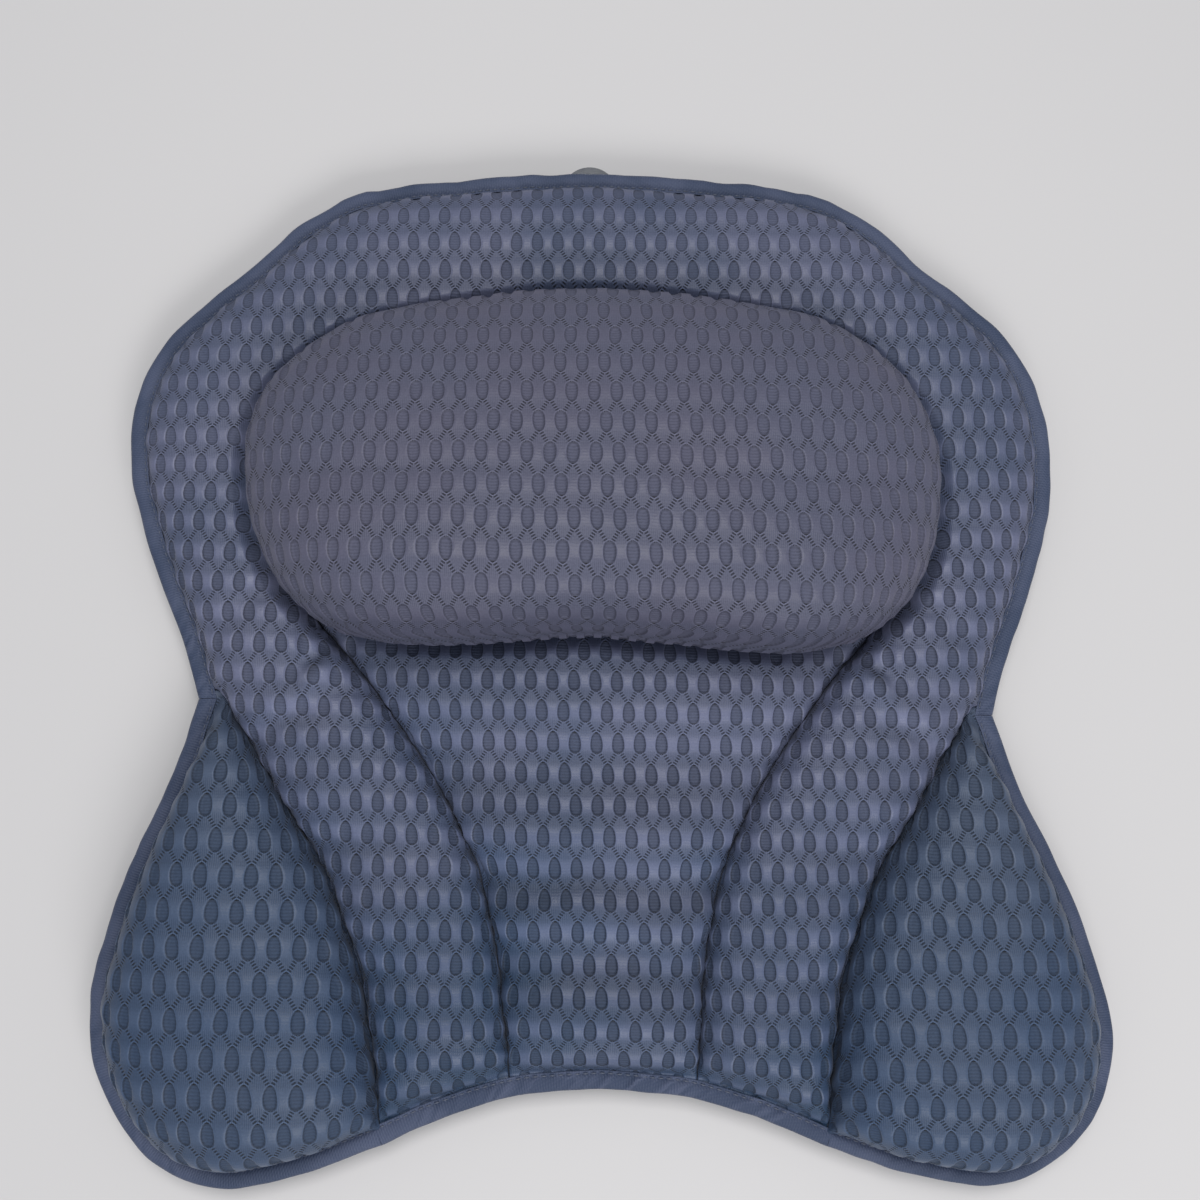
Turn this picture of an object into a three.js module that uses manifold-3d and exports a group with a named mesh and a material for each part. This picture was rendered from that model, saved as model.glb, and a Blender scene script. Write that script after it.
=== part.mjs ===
// Bath pillow: a quilted pad of spacer mesh with a raised headrest, two puffed wings sewn on
// along curved seams, and six suction cups that hold it to the end of a bathtub.
// Millimetres. X runs across the pillow, +Y towards its head end, +Z up from the tub surface
// that the cups stand on. Outline tables hold shares of the width and length that they follow,
// for the right half, and a mirror makes the left.

import * as THREE from "three";
import { mergeVertices } from "three/addons/utils/BufferGeometryUtils.js";
import Module from "manifold-3d";

const wasm = await Module();
wasm.setup();

// Overall size
const pillowWidth = 430;
const pillowLength = 444.5;
const headrestWidth = 294;
const headrestLength = 157;
const headrestHeight = 56.5;

// Quilting: each loft is measured from the back of the cover to its crown
const quiltLoft = 14;
const flankLoft = 18.5;
const wingLoft = 34;
const footRoll = 30;
const wingRoll = 62;
const meshThickness = 2.4;
const flangeThickness = 2;
const backThickness = 1.6;
const seamMargin = 1.4;
const fillEase = 0.7;

// Edge tape, folded over the raw edges
const tapeWidth = 8;
const tapeThickness = 0.9;
const tapeReach = 5.2;
const tapeRound = 1.6;
const tapeEndGap = 1;

// Gaps between neighbours
const fitGap = 0.3;
const wingGap = 0.8;
const backGap = 2.2;
const innerSeamGap = 0.4;

// Headrest
const headrestBulge = 15;
const headrestInset = 9;
const liningThickness = 1.2;

// Suction cup, from its rim upwards
const cupRadius = 29;
const cupRimWidth = 2;
const cupRimHeight = 1.2;
const cupHollow = 6;
const cupHeight = 10.5;
const cupShoulderRadius = 7.6;
const neckRadius = 4.4;
const headRadius = 6.8;
const headHeight = 3.6;
const tabWidth = 26;
const tabLength = 43;
const tabThickness = 2;
const tabLift = 0.5;
const tabOverhang = 12;
const cupPlay = 0.4;

// Eyelet and washer, clamped on the back fabric
const eyeletBore = 5;
const eyeletWall = 1.5;
const eyeletFlangeRadius = 11;
const eyeletFlangeThickness = 1.2;
const eyeletLipRadius = 8.2;
const eyeletLipThickness = 0.8;
const washerRadius = 10.4;
const washerThickness = 1;
const pocketGap = 0.7;

// Heights above the tub surface
const eyeletLevel = cupHeight + cupPlay;
const backLevel = eyeletLevel + eyeletFlangeThickness + fitGap;
const backTop = backLevel + backThickness;
const coverLevel = backTop + fitGap;
const flangeTop = coverLevel + flangeThickness;
const washerLevel = backTop + fitGap;
const lipLevel = washerLevel + washerThickness + fitGap;
const headLevel = lipLevel + eyeletLipThickness + cupPlay;
const tapeBottom = backLevel - fitGap - tapeThickness;
const tapeTop = flangeTop + fitGap + tapeThickness;
const seatLevel = coverLevel + quiltLoft + fitGap;

// Outline of the right half: shares of half the width, and of the length from the wing's lowest point
const waistShares = [0.802, 0.448];
const seamFootShares = [0.428, 0.039];
const innerFootShares = [0.18, 0.0815];
const headEdgeShares = [
  waistShares,
  [0.84, 0.508],
  [0.88, 0.554],
  [0.945, 0.656],
  [0.955, 0.715],
  [0.935, 0.77],
  [0.883, 0.819],
  [0.803, 0.859],
  [0.716, 0.894],
  [0.635, 0.932],
  [0.542, 0.963],
  [0.435, 0.982],
  [0.213, 0.993],
  [0, 1],
];
const wingEdgeShares = [
  waistShares,
  [0.85, 0.3755],
  [0.907, 0.314],
  [0.964, 0.24],
  [1, 0.158],
  [0.972, 0.086],
  [0.888, 0.032],
  [0.759, 0.003],
  [0.592, 0.013],
  seamFootShares,
];
const flankFootShares = [0.2986, 0.065];
const footEdgeShares = [seamFootShares, flankFootShares, innerFootShares, [0.092, 0.087], [0, 0.089]];

// Seams: the wing seam runs from the foot to the waist, and the inner seam from the foot up beside the
// flank and round under the headrest
const wingSeamShares = [
  seamFootShares,
  [0.434, 0.063],
  [0.449, 0.133],
  [0.477, 0.202],
  [0.531, 0.275],
  [0.621, 0.349],
  [0.719, 0.426],
  waistShares,
];
const innerSeamShares = [
  innerFootShares,
  [0.187, 0.131],
  [0.204, 0.209],
  [0.237, 0.284],
  [0.295, 0.349],
  [0.386, 0.419],
  [0.491, 0.487],
  [0.56, 0.525],
  [0.61, 0.575],
  [0.637, 0.645],
  [0.618, 0.72],
  [0.549, 0.7745],
  [0.395, 0.81],
  [0.186, 0.824],
  [0, 0.826],
];
const innerSeamFlankShare = 0.46;
const flankEndShare = 0.94;
const collarStartShare = 0.012;
const centreEndShare = 0.91;
const wingEndShare = 0.95;

// Headrest outline at its widest level: shares of half its width, and of its length from the neck side
const headrestShares = [
  [0, 1],
  [0.38, 0.97],
  [0.67, 0.915],
  [0.82, 0.835],
  [0.93, 0.73],
  [0.99, 0.6],
  [1, 0.49],
  [0.975, 0.32],
  [0.9, 0.165],
  [0.77, 0.05],
  [0.6, 0.004],
  [0.45, 0],
  [0.2, 0.015],
  [0, 0.03],
];
const headrestNeckShare = 0.497;
const headrestCentreShare = 0.44;
const headrestRidgeShare = 0.2;
const headrestThinShare = 0.6;

// Cup places: shares of half the width and of the length
const sideCupShares = [0.777, 0.694];
const lowerCupShares = [0, 0.21];
const wingCupShares = [0.722, 0.174];

// Facets
const crownSteps = 8;
const crownSideShare = 0.8;
const crownTopShare = 0.75;
const footSteps = 7;
const flankSteps = 10;
const collarSteps = 12;
const headrestSides = 32;
const turnSides = 16;

// Curves in plan
const edgePoint = ([across, along]) =>
  new THREE.Vector3((across * pillowWidth) / 2, along * pillowLength, 0);
const curveThrough = (shares) => new THREE.CatmullRomCurve3(shares.map(edgePoint));

function mirroredCurve(shares) {
  const left = shares.slice(0, -1).map(([across, along]) => [-across, along]);
  return curveThrough([...shares, ...left.reverse()]);
}

const headEdge = mirroredCurve(headEdgeShares);
const footEdge = mirroredCurve(footEdgeShares);
const innerSeam = mirroredCurve(innerSeamShares);
const wingSeam = curveThrough(wingSeamShares);
const wingEdge = curveThrough(wingEdgeShares);

// The point at a fraction of a curve, moved sideways to the left of its direction
function beside(curve, fraction, distance) {
  const ahead = curve.getTangentAt(fraction);
  const sideways = new THREE.Vector3(-ahead.y, ahead.x, 0);
  return curve.getPointAt(fraction).addScaledVector(sideways, distance);
}

const mirrored = (point) => new THREE.Vector3(-point.x, point.y, point.z);
const raised = (point, height) => new THREE.Vector3(point.x, point.y, height);
const spread = (count) => Array.from({ length: count + 1 }, (_, i) => i / count);

// A closed solid from its corners and faces, turned right side out
function solidGeometry(corners, faces) {
  const volume = faces.reduce((sum, [a, b, c]) => {
    const turn = new THREE.Vector3().crossVectors(corners[b], corners[c]);
    return sum + corners[a].dot(turn);
  }, 0);
  const outward = volume < 0 ? faces.map(([a, b, c]) => [a, c, b]) : faces;
  const geometry = new THREE.BufferGeometry();
  const numbers = corners.flatMap((corner) => corner.toArray());
  geometry.setAttribute("position", new THREE.Float32BufferAttribute(numbers, 3));
  geometry.setIndex(outward.flat());
  geometry.computeVertexNormals();
  return geometry;
}

const quad = (a, b, c, d) => [
  [a, b, c],
  [a, c, d],
];

// A layer between two grids of the same size, closed round its edge
function layer(upper, lower) {
  const rows = upper.length;
  const columns = upper[0].length;
  const corners = [...upper.flat(), ...lower.flat()];
  const top = (row, column) => row * columns + column;
  const under = (row, column) => rows * columns + top(row, column);
  const faces = [];
  for (let row = 1; row < rows; row++) {
    for (let column = 1; column < columns; column++) {
      const cell = [
        [row - 1, column - 1],
        [row - 1, column],
        [row, column],
        [row, column - 1],
      ];
      faces.push(...quad(...cell.map((at) => top(...at))));
      faces.push(...quad(...cell.reverse().map((at) => under(...at))));
    }
  }
  const wall = (from, to) => faces.push(...quad(top(...to), top(...from), under(...from), under(...to)));
  for (let column = 1; column < columns; column++) {
    wall([0, column - 1], [0, column]);
    wall([rows - 1, column], [rows - 1, column - 1]);
  }
  for (let row = 1; row < rows; row++) {
    wall([row, 0], [row - 1, 0]);
    wall([row - 1, columns - 1], [row, columns - 1]);
  }
  return solidGeometry(corners, faces);
}

// A solid skinned over a stack of closed rings that starts and ends in a point
function ringStack(start, rings, end) {
  const sides = rings[0].length;
  const corners = [...rings.flat(), start, end];
  const at = (ring, side) => ring * sides + (side % sides);
  const faces = [];
  for (let side = 0; side < sides; side++) {
    faces.push([at(0, side + 1), at(0, side), corners.length - 2]);
    faces.push([at(rings.length - 1, side), at(rings.length - 1, side + 1), corners.length - 1]);
    for (let ring = 1; ring < rings.length; ring++) {
      const corner = [at(ring - 1, side), at(ring - 1, side + 1), at(ring, side + 1), at(ring, side)];
      faces.push(...quad(...corner));
    }
  }
  return solidGeometry(corners, faces);
}

// A flat piece with round holes, cut from sheet
function sheetGeometry(outline, holes, holeRadius, level, thickness) {
  const shape = new THREE.Shape(outline.map((point) => new THREE.Vector2(point.x, point.y)));
  for (const hole of holes) {
    shape.holes.push(new THREE.Path().absarc(hole.x, hole.y, holeRadius, 0, 2 * Math.PI, true));
  }
  const settings = { depth: thickness, bevelEnabled: false, curveSegments: turnSides / 2 };
  return new THREE.ExtrudeGeometry(shape, settings).translate(0, 0, level);
}

// A turned piece about the Z axis, from a profile of radius and height
function turnedGeometry(profile) {
  const points = profile.map(([radius, height]) => new THREE.Vector2(radius, height));
  return new THREE.LatheGeometry(points, turnSides).rotateX(Math.PI / 2);
}

// Boolean joins and cuts
function toManifold(geometry) {
  const bare = geometry.clone();
  bare.deleteAttribute("normal");
  bare.deleteAttribute("uv");
  const merged = mergeVertices(bare);
  const vertProperties = merged.attributes.position.array;
  const triVerts = new Uint32Array(merged.index.array);
  return new wasm.Manifold(new wasm.Mesh({ numProp: 3, vertProperties, triVerts }));
}

function fromManifold(solid) {
  const mesh = solid.getMesh();
  const geometry = new THREE.BufferGeometry();
  geometry.setAttribute("position", new THREE.BufferAttribute(mesh.vertProperties, 3));
  geometry.setIndex(new THREE.BufferAttribute(mesh.triVerts, 1));
  geometry.computeVertexNormals();
  return geometry;
}

// Crown of a quilted channel: a row of points from one foot to the other, swelling between them
function crownLine({ feet, bow }, drawIn, level, rise) {
  const [from, to] = feet;
  const inward = to.clone().sub(from).normalize().multiplyScalar(drawIn);
  const start = from.clone().add(inward);
  const finish = to.clone().sub(inward);
  return spread(crownSteps).map((step) => {
    const turn = Math.cos(Math.PI * step);
    const across = (1 - Math.sign(turn) * Math.abs(turn) ** crownSideShare) / 2;
    const swell = Math.sin(Math.PI * step) ** crownTopShare;
    const point = start.clone().lerp(finish, across);
    point.addScaledVector(bow, 4 * across * (1 - across));
    return raised(point, level + rise * swell);
  });
}

// How far a channel has risen at a distance from the end where it is stitched flat
function rollUp(distance, roll) {
  const left = 1 - THREE.MathUtils.clamp(distance / roll, 0, 1);
  return Math.sqrt(1 - left * left);
}

// Front cover of a channel: stitched flat along both edges, open underneath for its filling
function coverGeometry(stations) {
  const edged = (station, row, height) => [
    raised(station.edges[0], height),
    ...row,
    raised(station.edges[1], height),
  ];
  const upper = stations.map((station) => {
    const rise = Math.max(station.loft - flangeThickness, 0);
    return edged(station, crownLine(station, 0, flangeTop, rise), flangeTop);
  });
  const lower = stations.map((station) => {
    const rise = Math.max(station.loft - meshThickness, 0);
    return edged(station, crownLine(station, meshThickness, coverLevel, rise), coverLevel);
  });
  return layer(upper, lower);
}

// Filling of a channel, where the cover has lifted clear, with a pocket over each cup's head
function fillGeometry(stations, cups) {
  const full = stations.filter((station) => station.filled);
  const fillLine = (station, rise) =>
    crownLine(station, meshThickness + fillEase, coverLevel, rise).slice(1, -1);
  const upper = full.map((station) => fillLine(station, station.loft - meshThickness - fillEase));
  const lower = full.map((station) => fillLine(station, 0));
  const pocket = turnedGeometry([
    [0, backLevel],
    [washerRadius + pocketGap, backLevel],
    [washerRadius + pocketGap, lipLevel + eyeletLipThickness + fitGap],
    [headRadius + pocketGap, headLevel + fitGap],
    [headRadius + pocketGap, headLevel + headHeight + pocketGap],
    [0, headLevel + headHeight + pocketGap],
  ]);
  const pockets = cups.map((cup) => toManifold(pocket.clone().translate(cup.x, cup.y, 0)));
  return fromManifold(pockets.reduce((fill, cut) => fill.subtract(cut), toManifold(layer(upper, lower))));
}

// Folded edge tape swept along an edge: a narrow channel that the raw edges lie in.
// Inward is 1 where the pillow lies to the left of the edge's direction, and -1 to its right.
function tapeGeometry(edge, inward, fractions) {
  const middle = (tapeBottom + tapeTop) / 2;
  const outside = [
    [tapeWidth, tapeTop],
    [tapeRound, tapeTop],
    [0, middle],
    [tapeRound, tapeBottom],
    [tapeWidth, tapeBottom],
  ];
  const inside = [
    [tapeWidth, tapeTop - tapeThickness],
    [tapeRound + tapeThickness, tapeTop - tapeThickness],
    [tapeThickness, middle],
    [tapeRound + tapeThickness, tapeBottom + tapeThickness],
    [tapeWidth, tapeBottom + tapeThickness],
  ];
  const trim = tapeEndGap / edge.getLength();
  const within = fractions.filter((fraction) => fraction > 2 * trim && fraction < 1 - 2 * trim);
  const sweep = (section) =>
    [trim, ...within, 1 - trim].map((fraction) =>
      section.map(([depth, height]) => raised(beside(edge, fraction, inward * depth), height)),
    );
  return layer(sweep(outside), sweep(inside));
}

// Materials, with the colours of the blue-grey mesh, its tape and the clear vinyl cups
const cloth = (color, roughness) => new THREE.MeshStandardMaterial({ color, roughness, metalness: 0 });
const padMesh = cloth(0x5a6076, 0.6);
const wingMesh = cloth(0x4b586b, 0.6);
const headrestMesh = cloth(0x5b5b6d, 0.6);
const backCloth = cloth(0x4a5262, 0.8);
const tapeCloth = cloth(0x475063, 0.7);
const wadding = cloth(0xe6e6e2, 0.95);
const vinyl = new THREE.MeshStandardMaterial({
  color: 0xc9ccd2,
  roughness: 0.15,
  metalness: 0,
  transparent: true,
  opacity: 0.55,
});
const eyeletPlastic = cloth(0xb9bcc2, 0.35);

function named(name, geometry, material) {
  const mesh = new THREE.Mesh(geometry, material);
  mesh.name = name;
  return mesh;
}

// Flat margins and crown feet. An edge under tape keeps its crown clear of the tape, and an edge at a
// seam has a narrow stitched strip.
const tapedEdge = tapeWidth - tapeReach;
const tapedFoot = tapeWidth + fitGap;

// Surround: both flanks and the collar in one arch, from the right foot over the head to the left foot
const flankLength = wingSeam.getLength();
const footFractions = spread(2 * footSteps);
const footTuck = tapedEdge + 3 * fitGap;
const footLift = tapeWidth + 4 * fitGap;
const flankFractions = [
  footTuck / flankLength,
  footLift / flankLength,
  ...[0.08, 0.3, 0.65, 1].map((share) => (footLift + share * footRoll) / flankLength),
];
const flankRest = flankEndShare - flankFractions.at(-1);
for (const step of spread(flankSteps).slice(1)) {
  flankFractions.push(flankEndShare - flankRest * (1 - step));
}
const flankFootMiddle = edgePoint(seamFootShares).lerp(edgePoint(innerFootShares), 0.5);
const footBow = edgePoint(flankFootShares).sub(flankFootMiddle).setX(0);

// The surround and the centre meet along the inner seam at the same stations
const flankInnerFraction = (fraction) => (fraction * innerSeamFlankShare) / 2;
const collarInnerFraction = (fraction) =>
  (innerSeamFlankShare + (1 - innerSeamFlankShare) * fraction) / 2;

const flankRise = (fraction) => rollUp(fraction * flankLength - footLift, footRoll);

function flankStation(fraction) {
  const rolled = flankRise(fraction);
  const innerFraction = flankInnerFraction(fraction);
  return {
    edges: [beside(wingSeam, fraction, wingGap / 2), beside(innerSeam, innerFraction, -innerSeamGap / 2)],
    feet: [
      beside(wingSeam, fraction, wingGap / 2 + seamMargin),
      beside(innerSeam, innerFraction, -innerSeamGap / 2 - seamMargin),
    ],
    loft: flangeThickness + rolled * (flankLoft - flangeThickness),
    bow: footBow.clone().multiplyScalar(Math.max(1 - (3 * fraction * flankLength) / pillowLength, 0)),
    filled: rolled > 0.6,
  };
}

function collarStation(fraction) {
  const innerFraction = collarInnerFraction(fraction);
  const settled = THREE.MathUtils.smoothstep(fraction, 0, 0.3);
  return {
    edges: [
      beside(headEdge, fraction / 2, tapedEdge),
      beside(innerSeam, innerFraction, -innerSeamGap / 2),
    ],
    feet: [
      beside(headEdge, fraction / 2, tapedFoot),
      beside(innerSeam, innerFraction, -innerSeamGap / 2 - seamMargin),
    ],
    loft: THREE.MathUtils.lerp(flankLoft, quiltLoft, settled),
    bow: new THREE.Vector3(),
    filled: true,
  };
}

function mirroredStation({ edges, feet, loft, bow, filled }) {
  return { edges: edges.map(mirrored), feet: feet.map(mirrored), loft, bow: mirrored(bow), filled };
}

const collarFractions = spread(collarSteps).map((step) => {
  return THREE.MathUtils.lerp(collarStartShare, 1, step);
});
const rightHeadFractions = collarFractions.map((fraction) => fraction / 2);
const leftHeadFractions = rightHeadFractions.slice(0, -1).map((fraction) => 1 - fraction);
const headEdgeFractions = [...rightHeadFractions, ...leftHeadFractions.reverse()];
const rightArch = [...flankFractions.map(flankStation), ...collarFractions.map(collarStation)];
const archStations = [...rightArch, ...rightArch.slice(0, -1).reverse().map(mirroredStation)];

// Centre: rows between the two inner seams, from the foot to the far side of the headrest
const centreRows = [
  ...flankFractions.map((fraction) => [flankInnerFraction(fraction), flankRise(fraction)]),
  ...collarFractions.map((fraction) => [collarInnerFraction(fraction), 1]),
].filter(([fraction]) => fraction < centreEndShare / 2);
const centreBow = edgePoint(footEdgeShares.at(-1)).sub(edgePoint(innerFootShares)).setX(0);
const centreEnd = innerSeam.getPointAt(centreRows.at(-1)[0]).y;

function centreStation([fraction, footRise]) {
  const right = (distance) => beside(innerSeam, fraction, distance);
  const edge = right(innerSeamGap / 2);
  const foot = right(innerSeamGap / 2 + seamMargin);
  const rolled = Math.min(footRise, rollUp(centreEnd - edge.y, footRoll));
  return {
    edges: [edge, mirrored(edge)],
    feet: [foot, mirrored(foot)],
    loft: flangeThickness + rolled * (quiltLoft - flangeThickness),
    bow: centreBow.clone().multiplyScalar(Math.max(1 - 10 * fraction, 0)),
    filled: rolled > 0.6,
  };
}

const centreStations = centreRows.map(centreStation);

// Wing: rows that fan from the waist to the foot, between the seam and the taped edge
const wingFractions = flankFractions
  .map((fraction) => 1 - fraction)
  .filter((fraction) => fraction < wingEndShare)
  .reverse();
const wingStart = wingFractions[0];
const wingEnd = wingFractions.at(-1);

function wingStation(fraction) {
  const along = fraction * flankLength;
  const rolled = Math.min(
    rollUp(along - wingStart * flankLength, 2 * wingRoll),
    rollUp(wingEnd * flankLength - along, wingRoll),
  );
  return {
    edges: [
      beside(wingSeam, 1 - fraction, -wingGap / 2),
      beside(wingEdge, fraction, -tapedEdge),
    ],
    feet: [
      beside(wingSeam, 1 - fraction, -wingGap / 2 - seamMargin),
      beside(wingEdge, fraction, -tapedFoot),
    ],
    loft: flangeThickness + rolled * (wingLoft - flangeThickness),
    bow: new THREE.Vector3(),
    filled: rolled > 0.35,
  };
}

const wingStations = wingFractions.map(wingStation);

// Suction cups: where each stands and which way its pull tab points
const headCupLine = pillowLength + tabOverhang - tabLength;
const sideCup = edgePoint(sideCupShares);
const wingCup = edgePoint(wingCupShares);
const cups = {
  top: { place: new THREE.Vector3(0, headCupLine, 0), turn: 5 },
  upper_left: { place: mirrored(sideCup), turn: -70 },
  upper_right: { place: sideCup, turn: 70 },
  lower_centre: { place: edgePoint(lowerCupShares), turn: 0 },
  left_wing: { place: mirrored(wingCup), turn: -15 },
  right_wing: { place: wingCup, turn: 15 },
};

// Bell with a flat rim, thin lips and a hollow, a neck and a mushroom head, with the tab joined to the rim
function cupGeometry() {
  const bellRise = cupHeight - cupRimHeight;
  const bellRun = cupRadius - cupShoulderRadius;
  const bell = turnedGeometry([
    [0, cupHollow],
    [0.3 * cupRadius, 0.95 * cupHollow],
    [0.6 * cupRadius, 0.72 * cupHollow],
    [0.82 * cupRadius, 0.36 * cupHollow],
    [cupRadius - cupRimWidth, 0],
    [cupRadius, 0],
    [cupRadius, cupRimHeight],
    [cupRadius - 0.3 * bellRun, cupRimHeight + 0.36 * bellRise],
    [cupRadius - 0.65 * bellRun, cupRimHeight + 0.72 * bellRise],
    [cupShoulderRadius + 0.1 * bellRun, cupRimHeight + 0.9 * bellRise],
    [cupShoulderRadius, cupHeight],
    [neckRadius, cupHeight],
    [neckRadius, headLevel],
    [headRadius, headLevel],
    [headRadius, headLevel + 0.35 * headHeight],
    [0.62 * headRadius, headLevel + 0.85 * headHeight],
    [0, headLevel + headHeight],
  ]);
  const tabRadius = tabWidth / 2;
  const outline = new THREE.Shape()
    .moveTo(-tabRadius, cupRadius - 3 * cupRimWidth)
    .lineTo(tabRadius, cupRadius - 3 * cupRimWidth)
    .lineTo(tabRadius, tabLength - tabRadius)
    .absarc(0, tabLength - tabRadius, tabRadius, 0, Math.PI, false);
  const settings = { depth: tabThickness, bevelEnabled: false, curveSegments: turnSides / 3 };
  const tab = new THREE.ExtrudeGeometry(outline, settings).translate(0, 0, tabLift);
  return fromManifold(toManifold(bell).add(toManifold(tab)));
}

const barrelRadius = eyeletBore + eyeletWall;
const holeRadius = barrelRadius + fitGap;
const cupShape = cupGeometry();
const eyeletShape = turnedGeometry([
  [eyeletBore, eyeletLevel],
  [eyeletFlangeRadius, eyeletLevel],
  [eyeletFlangeRadius, eyeletLevel + eyeletFlangeThickness],
  [barrelRadius, eyeletLevel + eyeletFlangeThickness],
  [barrelRadius, lipLevel],
  [eyeletLipRadius, lipLevel],
  [eyeletLipRadius, lipLevel + eyeletLipThickness],
  [eyeletBore, lipLevel + eyeletLipThickness],
  [eyeletBore, eyeletLevel],
]);
const washerShape = turnedGeometry([
  [holeRadius, washerLevel],
  [washerRadius, washerLevel],
  [washerRadius, washerLevel + washerThickness],
  [holeRadius, washerLevel + washerThickness],
  [holeRadius, washerLevel],
]);

function cupStation(name) {
  const station = new THREE.Group();
  const cup = named("suction_cup_" + name, cupShape, vinyl);
  cup.rotation.z = THREE.MathUtils.degToRad(cups[name].turn);
  station.add(cup);
  station.add(named("eyelet_" + name, eyeletShape, eyeletPlastic));
  station.add(named("washer_" + name, washerShape, eyeletPlastic));
  station.position.copy(cups[name].place);
  return station;
}

// Back fabric of the pad: along the taped edges it runs into the tape, and along the wing seams it
// stops short, so that the wings can fold
function padBackOutline() {
  const seam = flankFractions.map((fraction) => beside(wingSeam, fraction, backGap / 2));
  const head = headEdgeFractions.map((fraction) => beside(headEdge, fraction, tapedEdge));
  const foot = footFractions.slice(1, -1).map((fraction) => beside(footEdge, 1 - fraction, -footTuck));
  return [...seam, ...head, ...seam.map(mirrored).reverse(), ...foot];
}

function wingBackOutline() {
  const seam = wingFractions.map((fraction) => beside(wingSeam, 1 - fraction, -backGap / 2));
  const edge = wingFractions.map((fraction) => beside(wingEdge, fraction, -tapedEdge));
  return [...seam, ...edge.reverse()];
}

// Headrest: rings of its outline shrink up a domed side, square over the neck and easy to the head
const neckLine = headrestNeckShare * pillowLength;
const headrestPoint = ([across, along]) =>
  new THREE.Vector3((across * headrestWidth) / 2, neckLine + along * headrestLength, 0);
const headrestLeft = headrestShares.slice(1, -1).map(([across, along]) => [-across, along]);
const headrestEdge = new THREE.CatmullRomCurve3(
  [...headrestShares, ...headrestLeft.reverse()].map(headrestPoint),
  true,
);
const headrestCentre = headrestPoint([0, headrestCentreShare]);
const headrestCorners = spread(headrestSides)
  .slice(0, -1)
  .map((step) => headrestEdge.getPointAt(step));

function headrestThickness(y) {
  const along = (y - neckLine) / headrestLength;
  const past = Math.max(along - headrestRidgeShare, 0) / (1 - headrestRidgeShare);
  return headrestHeight * (1 - (1 - headrestThinShare) * past);
}

function domeRings(drawIn, lower, base) {
  const shrunk = headrestCorners.map((corner) => {
    const outward = corner.clone().sub(headrestCentre);
    return { outward: outward.setLength(outward.length() - drawIn), neck: Math.max(-outward.y, 0) };
  });
  const neckReach = headrestCentre.y - neckLine;
  const ringAt = (share, levelOf) =>
    shrunk.map(({ outward, neck }) => {
      const point = headrestCentre.clone().addScaledVector(outward, share);
      return raised(point, seatLevel + levelOf(point, neck / neckReach));
    });
  const domed = (share) => (point, neck) => {
    const squareness = THREE.MathUtils.lerp(2.7, 5.5, Math.min(neck, 1));
    const top = headrestThickness(point.y) - lower - headrestBulge;
    return headrestBulge + top * Math.sqrt(1 - share ** squareness);
  };
  const inset = 1 - headrestInset / (headrestLength / 2);
  const rings = [
    ringAt(inset, () => base),
    ringAt((1 + inset) / 2 + (1 - inset) / 5, () => THREE.MathUtils.lerp(base, headrestBulge, 0.4)),
    ringAt(1, () => headrestBulge),
  ];
  for (const share of [0.985, 0.95, 0.88, 0.76, 0.58, 0.32]) {
    rings.push(ringAt(share, domed(share)));
  }
  const apex = raised(headrestCentre, seatLevel + headrestThickness(headrestCentre.y) - lower);
  return { rings, apex };
}

const coverBase = liningThickness + fitGap;
const headrestOuter = domeRings(0, 0, coverBase);
const headrestInner = domeRings(meshThickness, meshThickness, coverBase);
const headrestFill = domeRings(meshThickness + fillEase, meshThickness + fillEase, coverBase + fitGap);
const headrestCover = ringStack(
  headrestInner.apex,
  [...headrestInner.rings.reverse(), ...headrestOuter.rings],
  headrestOuter.apex,
);
const headrestCore = ringStack(
  raised(headrestCentre, headrestFill.rings[0][0].z),
  headrestFill.rings,
  headrestFill.apex,
);
const headrestLining = sheetGeometry(headrestOuter.rings[0], [], 0, seatLevel, liningThickness);

// Assembly
const pillow = new THREE.Group();
pillow.name = "bath_pillow";

const pad = new THREE.Group();
const padCups = ["top", "upper_left", "upper_right", "lower_centre"];
const padHoles = padCups.map((name) => cups[name].place);
const padBack = sheetGeometry(padBackOutline(), padHoles, holeRadius, backLevel, backThickness);
pad.add(named("pad_back", padBack, backCloth));
pad.add(named("surround_cover", coverGeometry(archStations), padMesh));
pad.add(named("surround_filling", fillGeometry(archStations, padHoles.slice(0, 3)), wadding));
pad.add(named("centre_cover", coverGeometry(centreStations), padMesh));
pad.add(named("centre_filling", fillGeometry(centreStations, padHoles.slice(3)), wadding));
pad.add(named("head_edge_tape", tapeGeometry(headEdge, 1, headEdgeFractions), tapeCloth));
pad.add(named("foot_edge_tape", tapeGeometry(footEdge, -1, footFractions), tapeCloth));
pad.add(named("headrest_lining", headrestLining, backCloth));
pad.add(named("headrest_core", headrestCore, wadding));
pad.add(named("headrest_cover", headrestCover, headrestMesh));
for (const name of padCups) {
  pad.add(cupStation(name));
}
pillow.add(pad);

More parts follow.
